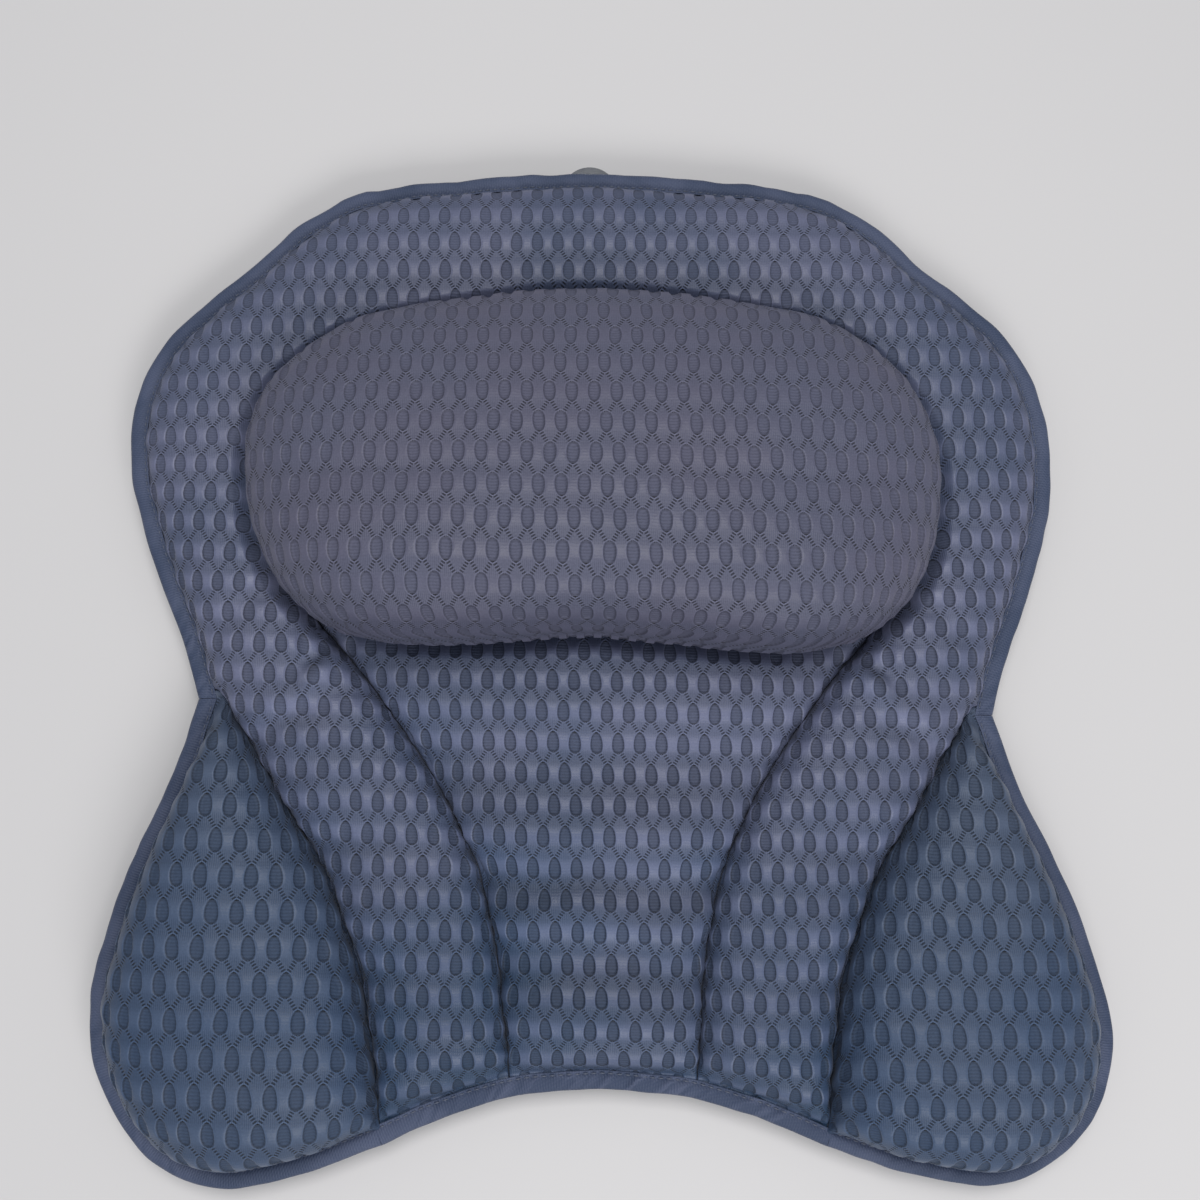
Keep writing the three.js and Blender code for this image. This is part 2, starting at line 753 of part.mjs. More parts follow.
for (const side of ["left", "right"]) {
  const facing = side === "left" ? -1 : 1;
  const turned = (point) => new THREE.Vector3(facing * point.x, point.y, point.z);
  const rows = side === "left" ? wingStations.map(mirroredStation) : wingStations;
  const hole = cups[side + "_wing"].place;
  const outline = wingBackOutline().map(turned);
  if (side === "left") outline.reverse();
  const back = sheetGeometry(outline, [hole], holeRadius, backLevel, backThickness);
  const edge = new THREE.CatmullRomCurve3(wingEdgeShares.map(edgePoint).map(turned));
  const wing = new THREE.Group();
  wing.add(named(side + "_wing_back", back, backCloth));
  wing.add(named(side + "_wing_cover", coverGeometry(rows), wingMesh));
  wing.add(named(side + "_wing_filling", fillGeometry(rows, [hole]), wadding));
  wing.add(named(side + "_wing_tape", tapeGeometry(edge, -facing, wingFractions), tapeCloth));
  wing.add(cupStation(side + "_wing"));
  pillow.add(wing);
}

// The origin lies on the tub surface, under the middle of the finished pillow
const middle = new THREE.Box3().setFromObject(pillow, true).getCenter(new THREE.Vector3());
pillow.position.set(-middle.x, -middle.y, 0);

export default pillow;
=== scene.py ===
# Bath pillow: a quilted pad of spacer mesh with a raised kidney headrest, two puffed wings sewn on
# along curved seams, and six suction cups on its back. Metres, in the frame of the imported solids:
# X across the pillow, +Y towards its head end, +Z up from the tub that the cups stand on.

import math

import bmesh
import bpy
import numpy as np
from mathutils import Matrix, Vector


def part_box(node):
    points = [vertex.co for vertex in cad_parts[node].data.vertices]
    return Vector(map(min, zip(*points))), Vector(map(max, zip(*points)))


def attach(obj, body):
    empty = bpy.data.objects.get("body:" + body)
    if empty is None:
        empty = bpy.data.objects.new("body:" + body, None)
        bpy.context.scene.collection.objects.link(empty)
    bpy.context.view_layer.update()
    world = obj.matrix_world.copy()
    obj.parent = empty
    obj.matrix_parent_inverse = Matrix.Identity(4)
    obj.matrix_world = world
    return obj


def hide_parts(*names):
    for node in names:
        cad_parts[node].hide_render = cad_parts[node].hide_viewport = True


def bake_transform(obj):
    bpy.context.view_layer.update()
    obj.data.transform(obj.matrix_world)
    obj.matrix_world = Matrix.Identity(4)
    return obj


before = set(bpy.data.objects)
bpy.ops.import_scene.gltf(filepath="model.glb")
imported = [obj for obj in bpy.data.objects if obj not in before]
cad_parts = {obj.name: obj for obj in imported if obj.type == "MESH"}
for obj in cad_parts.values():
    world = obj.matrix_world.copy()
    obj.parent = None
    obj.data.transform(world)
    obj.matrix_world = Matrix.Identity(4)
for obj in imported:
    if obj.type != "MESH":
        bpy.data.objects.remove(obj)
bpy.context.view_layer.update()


# Suction cups: clear soft vinyl, moulded in one piece with a flat rim, a hollow bell, a short neck
# with a mushroom head that is pushed through its eyelet, and a tongue to pull it off by.


class Thread:
    """A value in a finish. Sums on it add the nodes that work them out."""

    def __init__(self, tree, socket=None):
        self.tree = tree
        self.socket = socket

    def make(self, kind, settings=None, inputs=None, output=0):
        node = self.tree.nodes.new(kind)
        for name, value in (settings or {}).items():
            setattr(node, name, value)
        for name, value in (inputs or {}).items():
            if isinstance(value, Thread):
                self.tree.links.new(value.socket, node.inputs[name])
            else:
                node.inputs[name].default_value = value
        return Thread(self.tree, node.outputs[output])

    def worked(self, operation, *terms):
        return self.make("ShaderNodeMath", {"operation": operation}, dict(enumerate(terms)))

    def __add__(self, other):
        return self.worked("ADD", self, other)

    def __radd__(self, other):
        return self.worked("ADD", other, self)

    def __sub__(self, other):
        return self.worked("SUBTRACT", self, other)

    def __rsub__(self, other):
        return self.worked("SUBTRACT", other, self)

    def __mul__(self, other):
        return self.worked("MULTIPLY", self, other)

    def __rmul__(self, other):
        return self.worked("MULTIPLY", other, self)

    def __truediv__(self, other):
        return self.worked("DIVIDE", self, other)

    def __pow__(self, other):
        return self.worked("POWER", self, other)

    def __abs__(self):
        return self.worked("ABSOLUTE", self)

    def floor(self):
        return self.worked("FLOOR", self)

    def fraction(self):
        return self.worked("FRACT", self)

    def sine(self):
        return self.worked("SINE", self)

    def rising(self, low, high):
        """0 below low, 1 above high, and smooth between them."""
        return self.make(
            "ShaderNodeMapRange", {"interpolation_type": "SMOOTHSTEP"}, {0: self, 1: low, 2: high}
        )

    def blended(self, first, second):
        """The first colour where this is 0, and the second where it is 1."""
        return self.make("ShaderNodeMix", {"data_type": "RGBA"}, {0: self, 6: first, 7: second}, 2)

    def part(self, which):
        """The x, y or z of a place, as 0, 1 or 2."""
        return self.make("ShaderNodeSeparateXYZ", None, {0: self}, which)

    def feeds(self, shader, name):
        self.tree.links.new(self.socket, shader.inputs[name])

    def raises(self, shader, strength, deepest):
        """Relief that is too fine to model, with this as its height."""
        grain = {"Strength": strength, "Distance": deepest, "Height": self}
        self.make("ShaderNodeBump", None, grain).feeds(shader, "Normal")


def new_finish(name, **constants):
    material = bpy.data.materials.new(name)
    material.use_nodes = True
    shader = material.node_tree.nodes["Principled BSDF"]
    for socket, value in constants.items():
        shader.inputs[socket.replace("_", " ")].default_value = value
    return material, shader, Thread(material.node_tree)


class SewingLine:
    """A smooth line through marks, measured along its length."""

    def __init__(self, marks, closed=False):
        marks = np.array(marks, float)
        if closed:
            lead, trail = marks[-1:], marks[:2]
        else:
            lead, trail = 2 * marks[:1] - marks[1:2], 2 * marks[-1:] - marks[-2:-1]
        marks = np.vstack([lead, marks, trail])
        runs = []
        along = np.linspace(0, 1, 60, endpoint=False)[:, None]
        for before, start, end, after in zip(marks, marks[1:], marks[2:], marks[3:]):
            spans = ((before, start), (start, end), (end, after))
            back, here, on = (np.linalg.norm(second - first) ** 0.5 for first, second in spans)
            leave = (start - before) / back - (end - before) / (back + here) + (end - start) / here
            reach = (end - start) / here - (after - start) / (here + on) + (after - end) / on
            leave, reach = leave * here, reach * here
            square = 3 * (end - start) - 2 * leave - reach
            cube = 2 * (start - end) + leave + reach
            runs.append(start + leave * along + square * along**2 + cube * along**3)
        self.line = np.vstack(runs + [marks[-2][None]])
        self.run = np.concatenate([[0], np.cumsum(np.linalg.norm(np.diff(self.line, axis=0), axis=1))])
        self.length = self.run[-1]

    def place(self, run):
        run = np.clip(run, 0, self.length)
        return np.column_stack([np.interp(run, self.run, axis) for axis in self.line.T])

    def at(self, shares, aside=0.0):
        """Places at these shares of the length, moved to the left of the line's direction."""
        run = np.atleast_1d(shares) * self.length
        ahead = self.place(run + 0.0006) - self.place(run - 0.0006)
        ahead /= np.linalg.norm(ahead, axis=1)[:, None]
        return self.place(run) + np.column_stack([-ahead[:, 1], ahead[:, 0]]) * aside


cup_radius = 0.029
cup_height = 0.0105
cup_shoulder = 0.0076
neck_radius = 0.0044
head_level = 0.0168
bell_outside = SewingLine([
    (cup_radius, 0.0011), (0.0262, 0.0026), (0.0222, 0.0046), (0.0150, 0.0078), (0.0098, 0.0096),
    (cup_shoulder, cup_height - 0.0002),
])
bell_inside = SewingLine([
    (0, 0.006), (0.0087, 0.0057), (0.0174, 0.0043), (0.0238, 0.0021), (0.027, 0.0),
])
cup_profile = [
    *bell_inside.at(np.linspace(0, 1, 18)),
    (cup_radius - 0.0002, 0.0),
    (cup_radius, 0.0003),
    *bell_outside.at(np.linspace(0, 1, 20)),
    (cup_shoulder - 0.0003, cup_height),
    (neck_radius + 0.0004, cup_height),
    (neck_radius, cup_height + 0.0004),
    (neck_radius, head_level),
    (0.0066, head_level),
    (0.0068, head_level + 0.0003),
    (0.0068, head_level + 0.0012),
    (0.0062, head_level + 0.0022),
    (0.0042, head_level + 0.0031),
    (0.0022, head_level + 0.0035),
    (0, head_level + 0.0036),
]


def turned_shape(profile, steps):
    shape = bmesh.new()
    rim = [shape.verts.new((radius, 0, height)) for radius, height in profile]
    line = [shape.edges.new(pair) for pair in zip(rim, rim[1:])]
    bmesh.ops.spin(
        shape, geom=rim + line, cent=(0, 0, 0), axis=(0, 0, 1), angle=2 * math.pi, steps=steps, use_merge=True
    )
    bmesh.ops.remove_doubles(shape, verts=shape.verts[:], dist=1e-6)
    bmesh.ops.recalc_face_normals(shape, faces=shape.faces[:])
    return shape


def new_piece(name, shape, finish, smooth=math.radians(40)):
    mesh = bpy.data.meshes.new(name)
    shape.to_mesh(mesh)
    shape.free()
    mesh.materials.append(finish)
    mesh.shade_smooth()
    mesh.set_sharp_from_angle(angle=smooth)
    piece = bpy.data.objects.new(name, mesh)
    bpy.context.scene.collection.objects.link(piece)
    return piece


def with_modifier(piece, kind, **settings):
    """The piece's mesh once this modifier has worked on it."""
    modifier = piece.modifiers.new("work", kind)
    for name, value in settings.items():
        setattr(modifier, name, value)
    worked = bpy.data.meshes.new_from_object(piece.evaluated_get(bpy.context.evaluated_depsgraph_get()))
    piece.modifiers.clear()
    old = piece.data
    piece.data = worked
    bpy.data.meshes.remove(old)
    worked.name = piece.name
    return piece


clear_vinyl, vinyl_shader, thread = new_finish(
    "clear_vinyl", Roughness=0.16, IOR=1.45, Transmission_Weight=0.62, Specular_IOR_Level=0.5
)
where = thread.make("ShaderNodeTexCoord", output="Object")
scuffs = thread.make("ShaderNodeTexNoise", None, {"Vector": where, "Scale": 420.0, "Detail": 3.0})
cloudiness = scuffs.rising(0.35, 0.75)
cloudiness.blended((0.40, 0.42, 0.45, 1), (0.33, 0.35, 0.39, 1)).feeds(vinyl_shader, "Base Color")
(0.14 + 0.16 * scuffs.rising(0.5, 0.8)).feeds(vinyl_shader, "Roughness")
scuffs.raises(vinyl_shader, 0.2, 0.0003)

tab_width = 0.026
tab_length = 0.0405
tab_root = 0.0235
tab_thickness = 0.002
tongue = bmesh.new()
half_turn = np.linspace(0, math.pi, 25)
tab_reach = tab_length - tab_width / 2
tip = [(tab_width / 2 * math.cos(turn), tab_reach + tab_width / 2 * math.sin(turn)) for turn in half_turn]
corners = [tongue.verts.new((x, y, 0.0005)) for x, y in [(-0.0128, tab_root), (0.0128, tab_root), *tip]]
sole = tongue.faces.new(corners)
raised = bmesh.ops.extrude_face_region(tongue, geom=[sole])
raised_corners = [v for v in raised["geom"] if isinstance(v, bmesh.types.BMVert)]
bmesh.ops.translate(tongue, verts=raised_corners, vec=(0, 0, tab_thickness))
bmesh.ops.recalc_face_normals(tongue, faces=tongue.faces[:])
rims = [e for e in tongue.edges if abs(e.verts[0].co.z - e.verts[1].co.z) < 1e-6]
bmesh.ops.bevel(tongue, geom=rims, offset=0.0006, segments=3, profile=0.5, affect="EDGES", material=-1)
tongue_piece = new_piece("tongue", tongue, clear_vinyl)
cup_shape = new_piece("cup_shape", turned_shape(cup_profile, 96), clear_vinyl)
with_modifier(cup_shape, "BOOLEAN", operation="UNION", solver="EXACT", object=tongue_piece)
cup_shape.data.shade_smooth()
cup_shape.data.set_sharp_from_angle(angle=math.radians(38))
cup_turns = {
    "top": 5, "upper_left": -70, "upper_right": 70, "lower_centre": 0, "left_wing": -15, "right_wing": 15,
}
cup_places = {}
for cup_name, cup_turn in cup_turns.items():
    low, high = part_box("eyelet_" + cup_name)
    cup_places[cup_name] = (low + high) / 2
    cup_mesh = cup_shape.data.copy()
    stand = Matrix.Translation((cup_places[cup_name].x, cup_places[cup_name].y, 0))
    cup_mesh.transform(stand @ Matrix.Rotation(math.radians(cup_turn), 4, "Z"))
    cup = bpy.data.objects.new("cup_" + cup_name, cup_mesh)
    bpy.context.scene.collection.objects.link(cup)
    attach(cup, "cup_" + cup_name)
    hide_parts("suction_cup_" + cup_name)
for pattern in (cup_shape, tongue_piece):
    bpy.data.objects.remove(pattern)


# Eyelets and their washers: satin grey plastic, pressed together through the back cloth. Their
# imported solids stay, with the fine turning marks and scuffs of moulded plastic.
eyelet_plastic, plastic_shader, thread = new_finish("eyelet_plastic", Roughness=0.35)
where = thread.make("ShaderNodeTexCoord", output="Object")
grain = thread.make("ShaderNodeTexNoise", None, {"Vector": where, "Scale": 900.0, "Detail": 4.0})
grain.blended((0.40, 0.41, 0.43, 1), (0.50, 0.51, 0.53, 1)).feeds(plastic_shader, "Base Color")
(0.28 + 0.2 * grain).feeds(plastic_shader, "Roughness")
grain.raises(plastic_shader, 0.3, 0.0002)
for node_name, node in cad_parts.items():
    if node_name.startswith(("eyelet_", "washer_")):
        node.data.materials.clear()
        node.data.materials.append(eyelet_plastic)


# Back cloth: plain woven polyester in three cuts, one for the pad and one for each wing. The pad's
# cut runs into the edge tape and stops short of the wing seams.
pillow_width = 0.430
pillow_length = 0.4445
lowest_y = -0.229015
taped_edge = 0.0028
back_level = 0.0124
back_thickness = 0.0016
eyelet_hole = 0.0068
seam_clearance = 0.0011
foot_tuck = 0.0037
flank_end_share = 0.957
collar_start_share = 0.012
waist = (0.802, 0.448)
seam_foot = (0.428, 0.039)
inner_foot = (0.18, 0.0815)


def on_plan(shares):
    return np.array(shares, float) * (pillow_width / 2, pillow_length) + (0, lowest_y)


def both_halves(shares):
    left = [(-across, along) for across, along in shares[:-1]]
    return SewingLine(on_plan([*shares, *left[::-1]]))


def mirrored(points):
    return points * np.array([-1.0] + [1.0] * (points.shape[-1] - 1))


head_edge = both_halves([
    waist, (0.84, 0.508), (0.88, 0.554), (0.945, 0.656), (0.955, 0.715), (0.935, 0.77), (0.883, 0.819),
    (0.803, 0.859), (0.716, 0.894), (0.635, 0.932), (0.542, 0.963), (0.435, 0.982), (0.213, 0.993), (0, 1),
])
foot_edge = both_halves([seam_foot, (0.2986, 0.065), inner_foot, (0.092, 0.087), (0, 0.089)])
wing_seam = SewingLine(on_plan([
    seam_foot, (0.434, 0.063), (0.449, 0.133), (0.477, 0.202), (0.531, 0.275), (0.621, 0.349), (0.719, 0.426),
    (0.76, 0.456), waist,
]))
wing_edge = SewingLine(on_plan([
    waist, (0.85, 0.3755), (0.907, 0.314), (0.964, 0.24), (1, 0.158), (0.972, 0.086), (0.888, 0.032),
    (0.759, 0.003), (0.592, 0.013), seam_foot,
]))
wing_shares = np.linspace(1 - flank_end_share, 1 - foot_tuck / wing_seam.length, 61)


def fold_with_wing(piece, side):
    """Bakes the piece's placement into its mesh."""
    facing = np.array((-1 if side == "left" else 1, 1))
    side + "_wing"
    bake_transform(piece)


def eased(value, low, high):
    share = np.clip((value - low) / (high - low), 0, 1)
    return share * share * (3 - 2 * share)


def wandering(run, seed, wavelengths):
    """A gentle random wave along a run, the same each time."""
    chance = np.random.default_rng(seed)
    wave = 0
    for wavelength in wavelengths:
        for _ in range(3):
            length = wavelength * chance.uniform(0.75, 1.3)
            wave = wave + np.sin(2 * np.pi * run / length + chance.uniform(0, 6.3)) / 3
    return wave / len(wavelengths)


def settled(points):
    """The same points as the pillow lies: a little skewed and uneven, as sewn and used cloth is."""
    x, y = points[..., 0], points[..., 1]
    lying = points.copy()
    lying[..., 0] -= 0.0165 * y
    lying[..., 1] -= 0.0225 * x * eased(y, -0.24, -0.17) * (1 - eased(y, 0.05, 0.14))
    lying[..., 0] += 0.00045 * wandering(y + 0.4 * x, 71, (0.016, 0.030, 0.055))
    lying[..., 1] += 0.00045 * wandering(x - 0.4 * y, 72, (0.016, 0.030, 0.055))
    return lying


back_cloth, back_shader, thread = new_finish(
    "back_cloth", Roughness=0.8, Sheen_Weight=0.15, Sheen_Roughness=0.4
)
where = thread.make("ShaderNodeTexCoord", output="Object")
yarn_turn = 2 * math.pi / 0.0009
warp = (where.part(0) * yarn_turn).sine()
weft = (where.part(1) * yarn_turn).sine()
weave = warp * weft
cloud = thread.make("ShaderNodeTexNoise", None, {"Vector": where, "Scale": 24.0, "Detail": 3.0})
shade = 0.3 * weave + cloud.rising(0.3, 0.7)
shade.blended((0.058, 0.070, 0.106, 1), (0.078, 0.092, 0.134, 1)).feeds(back_shader, "Base Color")
(0.78 + 0.08 * weave).feeds(back_shader, "Roughness")
weave.raises(back_shader, 0.5, 0.0002)


def sheet_piece(name, rows, holes):
    """A cut of cloth from a grid of places, given its thickness and a hole for each eyelet."""
    rows = settled(rows)
    count, columns = rows.shape[:2]
    cut = bmesh.new()
    bmesh.ops.create_grid(cut, x_segments=columns - 1, y_segments=count - 1, size=0.5)
    for corner, place in zip(cut.verts, rows.reshape(-1, 2)):
        corner.co = (*place, back_level)
    bmesh.ops.recalc_face_normals(cut, faces=cut.faces[:])
    top = bmesh.ops.extrude_face_region(cut, geom=cut.faces[:])
    moved = [v for v in top["geom"] if isinstance(v, bmesh.types.BMVert)]
    bmesh.ops.translate(cut, verts=moved, vec=(0, 0, back_thickness))
    bmesh.ops.recalc_face_normals(cut, faces=cut.faces[:])
    sheet = new_piece(name, cut, back_cloth)
    punch = bmesh.new()
    for hole in holes:
        stand = Matrix.Translation((hole.x, hole.y, back_level))
        bmesh.ops.create_cone(
            punch, cap_ends=True, segments=32, radius1=eyelet_hole, radius2=eyelet_hole, depth=0.01, matrix=stand
        )
    punch_piece = new_piece("punch", punch, back_cloth)
    with_modifier(sheet, "BOOLEAN", operation="DIFFERENCE", solver="EXACT", object=punch_piece)
    bpy.data.objects.remove(punch_piece)
    sheet.data.shade_smooth()
    sheet.data.set_sharp_from_angle(angle=math.radians(40))
    return sheet


def plan_area(rows):
    """The area of a flat cut of cloth."""
    wide = rows[:, 1:] - rows[:, :-1]
    tall = rows[1:] - rows[:-1]
    return abs(wide[:-1, :, 0] * tall[:, :-1, 1] - wide[:-1, :, 1] * tall[:, :-1, 0]).sum()


pad_cups = [cup_places[n] for n in ("top", "upper_left", "upper_right", "lower_centre")]
flank_shares = np.linspace(foot_tuck / wing_seam.length, flank_end_share, 70)
right_side = np.vstack([
    wing_seam.at(flank_shares, seam_clearance),
    head_edge.at(np.linspace(collar_start_share / 2, 0.4995, 150), taped_edge),
])
fractions = np.linspace(0, 1, 61)
pad_rows = mirrored(right_side)[:, None] * (1 - fractions)[:, None] + right_side[:, None] * fractions[:, None]
arch = foot_edge.at(1 - fractions, -foot_tuck)[:, 1] - right_side[0, 1]
arch -= np.linspace(arch[0], arch[-1], len(arch))
risen = np.clip((right_side[:, 1] - right_side[0, 1]) / 0.12, 0, 1)
pad_rows[..., 1] += arch * (1 - risen[:, None]) ** 1.5
pad_back = sheet_piece("pad_back_cloth", pad_rows, pad_cups)
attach(pad_back, "pad")
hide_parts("pad_back")
plan_area(pad_rows)

for side in ("left", "right"):
    seam_side = wing_seam.at(1 - wing_shares, -seam_clearance)
    edge_side = wing_edge.at(wing_shares, -taped_edge)
    cross = np.linspace(0, 1, 25)[:, None]
    wing_rows = seam_side[:, None] * (1 - cross) + edge_side[:, None] * cross
    wing_rows = wing_rows if side == "right" else mirrored(wing_rows)
    wing_back = sheet_piece(side + "_wing_back_cloth", wing_rows, [cup_places[side + "_wing"]])
    fold_with_wing(wing_back, side)
    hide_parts(side + "_wing_back")
    plan_area(wing_rows)
    side + "_wing_back"


# Surround: one arch of spacer mesh over its wadding, up both flanks and round the headrest. It is
# stitched down along the wing seams and inner seams, and its outer edge lies in the head tape.
seam_gap = 0.0002
wing_gap = 0.0001
seam_margin = 0.0001
flange_top = 0.0163
seam_level = 0.0152
cover_level = 0.0143
flange = 0.002
flank_loft = 0.0185
quilt_loft = 0.014
foot_roll = 0.030
foot_lift = 0.0092
taped_foot = 0.0083
flank_share = 0.46
pitch_across = 0.0092
pitch_along = 0.0131
swelling = 0.00034
close_up = 1.0
step_size = 0.00078 * close_up
inner_seam = both_halves([
    inner_foot, (0.187, 0.131), (0.204, 0.209), (0.237, 0.284), (0.295, 0.349), (0.386, 0.419), (0.491, 0.487),
    (0.56, 0.525), (0.61, 0.575), (0.637, 0.645), (0.618, 0.72), (0.549, 0.7745), (0.395, 0.81), (0.186, 0.824),
    (0, 0.826),
])

headrest_width = 0.294
headrest_length = 0.157
neck_line = lowest_y + 0.497 * pillow_length
headrest_marks = [
    (0, 1), (0.38, 0.97), (0.67, 0.915), (0.82, 0.835), (0.93, 0.73), (0.99, 0.6), (1, 0.49), (0.975, 0.32),
    (0.9, 0.17), (0.77, 0.06), (0.6, 0.015), (0.45, 0.011), (0.2, 0.028), (0, 0.043),
]
headrest_marks += [(-across, along) for across, along in headrest_marks[-2:0:-1]]
headrest_edge = SewingLine(
    np.array(headrest_marks) * (headrest_width / 2, headrest_length) + (0, neck_line), closed=True
)
headrest_centre = np.array((0, neck_line + 0.44 * headrest_length))
bed_level = 0.0212


def headrest_reach(angle):
    """How far the widest outline is from the centre in a direction."""
    offset = headrest_edge.line[:-1] - headrest_centre
    turn = np.arctan2(offset[:, 1], offset[:, 0])
    order = np.argsort(turn)
    return np.interp(angle, turn[order], np.linalg.norm(offset, axis=1)[order], period=2 * np.pi)


def rolled_up(distance, roll):
    """How far a channel has risen at a distance from the end where it is stitched flat."""
    left = 1 - np.clip(distance / roll, 0, 1)
    return np.sqrt(1 - left * left)


def knit_relief(across, along, swelling, taper=0.15):
    """Height of the knit over its ground, at places counted in its repeats: rows of sunk ovals, each
    row half a repeat on from the last, and a sunk zigzag between the rows."""
    row = np.floor(along)
    down = along - row - 0.5
    side = (across - 0.5 * (row % 2) + 0.5) % 1 - 0.5
    tall = down / 0.350
    wide = side / (0.285 * (1 - taper * np.clip(tall, -1.3, 1.3)))
    oval = (np.abs(wide) ** 2.3 + np.abs(tall) ** 2.3) ** (1 / 2.3)
    sunk = 1 - eased(oval, 0.70, 1.02)
    rim = np.exp(-(((oval - 1.12) / 0.12) ** 2))
    line = np.floor(along + 0.5)
    above = along - line
    beside = np.abs((across - 0.5 * (line % 2) + 0.5) % 1 - 0.5)
    zigzag = np.exp(-(((beside + 0.92 * above - 0.295) / 0.11) ** 2)) * (1 - eased(np.abs(above), 0.15, 0.24))
    swell = np.cos(2 * np.pi * down) * (1 - sunk)
    return -0.00100 * sunk + 0.00005 * rim - 0.00010 * zigzag + swelling * swell


def evened(stations, spacing):
    """The same stations at an even spacing along the channel's middle."""
    middle = stations[:, 4:6] + stations[:, 6:8]
    run = np.concatenate([[0], np.cumsum(np.linalg.norm(np.diff(middle, axis=0), axis=1) / 2)])
    count = 4 * max(int(run[-1] / spacing / 4), 2) + 1
    even = np.linspace(0, run[-1], count)
    return np.column_stack([np.interp(even, run, column) for column in stations.T])


def stationed(edges, feet, loft, bow):
    """One row of numbers for each station: two edges, two feet, the loft and the bow."""
    return np.column_stack([edges[0], edges[1], feet[0], feet[1], loft, bow])


def mirrored_stations(stations):
    flipped = stations.copy()
    flipped[:, [0, 2, 4, 6, 9]] *= -1
    return flipped


def crown_over(stations, columns):
    """Rows of points over a stuffed channel, evenly spaced from one stitched edge to the other."""
    turn = np.cos(np.pi * np.linspace(0, 1, 181))
    across = ((1 - np.sign(turn) * np.abs(turn) ** 0.8) / 2)[:, None]
    swell = (1 - turn**2) ** 0.375
    rows = []
    for station in stations:
        start, finish, from_foot, to_foot = station[:8].reshape(4, 2)
        plan = from_foot + (to_foot - from_foot) * across + station[9:11] * 4 * across * (1 - across)
        height = flange_top + max(station[8] - flange, 0) * swell
        line = np.vstack([(*start, seam_level), np.column_stack([plan, height]), (*finish, seam_level)])
        run = np.concatenate([[0], np.cumsum(np.linalg.norm(np.diff(line, axis=0), axis=1))])
        even = np.linspace(0, run[-1], columns)
        rows.append(np.column_stack([np.interp(even, run, axis) for axis in line.T]))
    return np.array(rows)


def floor_under(stations, columns):
    """The flat underside of a channel, with a pocket over each eyelet and cup head."""
    across = np.linspace(0, 1, columns)[None, :, None]
    plan = stations[:, None, 0:2] * (1 - across) + stations[:, None, 2:4] * across
    plan = plan + stations[:, None, 9:11] * 4 * across * (1 - across)
    plan = settled(plan)
    height = np.full(plan.shape[:2], cover_level)
    for cup in cup_places.values():
        reach = np.linalg.norm(plan - (cup.x, cup.y), axis=2)
        height = np.maximum(height, cover_level + 0.0072 * (1 - eased(reach, 0.0115, 0.0165)))
    return np.dstack([plan, height])


def laid_flat(points):
    """Where each point of the stuffed cloth lay when the cloth was flat."""
    count, columns = points.shape[:2]
    middle = columns // 2
    heading = np.gradient(points[:, middle, :2], axis=0)
    heading /= np.linalg.norm(heading, axis=1)[:, None]
    square = np.column_stack([-heading[:, 1], heading[:, 0]])
    step = np.diff(points, axis=1)
    on = (step[..., :2] * heading[:, None]).sum(axis=2)
    over = (step[..., :2] * square[:, None]).sum(axis=2)
    over = np.sign(over.sum(axis=1))[:, None] * np.hypot(over, step[..., 2])
    step = on[..., None] * heading[:, None] + over[..., None] * square[:, None]
    spine = np.diff(points[:, middle], axis=0)
    bare = np.maximum(np.linalg.norm(spine[:, :2], axis=1), 1e-9)
    spine = spine[:, :2] * (np.linalg.norm(spine, axis=1) / bare)[:, None]
    flat = np.zeros((count, columns, 2))
    walked = np.vstack([[0, 0], np.cumsum(spine, axis=0)])
    flat[:, middle] = walked - walked[count // 2] + points[count // 2, middle, :2]
    flat[:, middle + 1:] = flat[:, middle, None] + np.cumsum(step[:, middle:], axis=1)
    flat[:, :middle] = flat[:, middle, None] - np.cumsum(step[:, :middle][:, ::-1], axis=1)[:, ::-1]
    return flat


def outward(points):
    """The direction that the cloth faces at each point of a grid."""
    facing = np.cross(np.gradient(points, axis=1), np.gradient(points, axis=0))
    facing /= np.maximum(np.linalg.norm(facing, axis=2), 1e-12)[..., None]
    return facing if facing[..., 2].mean() > 0 else -facing


def edge_distances(points):
    """How far each point is along the cloth from its row's two edges."""
    run = np.linalg.norm(np.diff(points, axis=1), axis=2)
    run = np.concatenate([np.zeros((len(points), 1)), np.cumsum(run, axis=1)], axis=1)
    return run, run[:, -1:] - run


def rim_of(rows, columns, first=0):
    """Numbers of a grid's outer points, in order round it."""
    grid = np.arange(rows * columns).reshape(rows, columns) + first
    return [*grid[0, :-1], *grid[:-1, -1], *grid[-1, :0:-1], *grid[:0:-1, 0]]


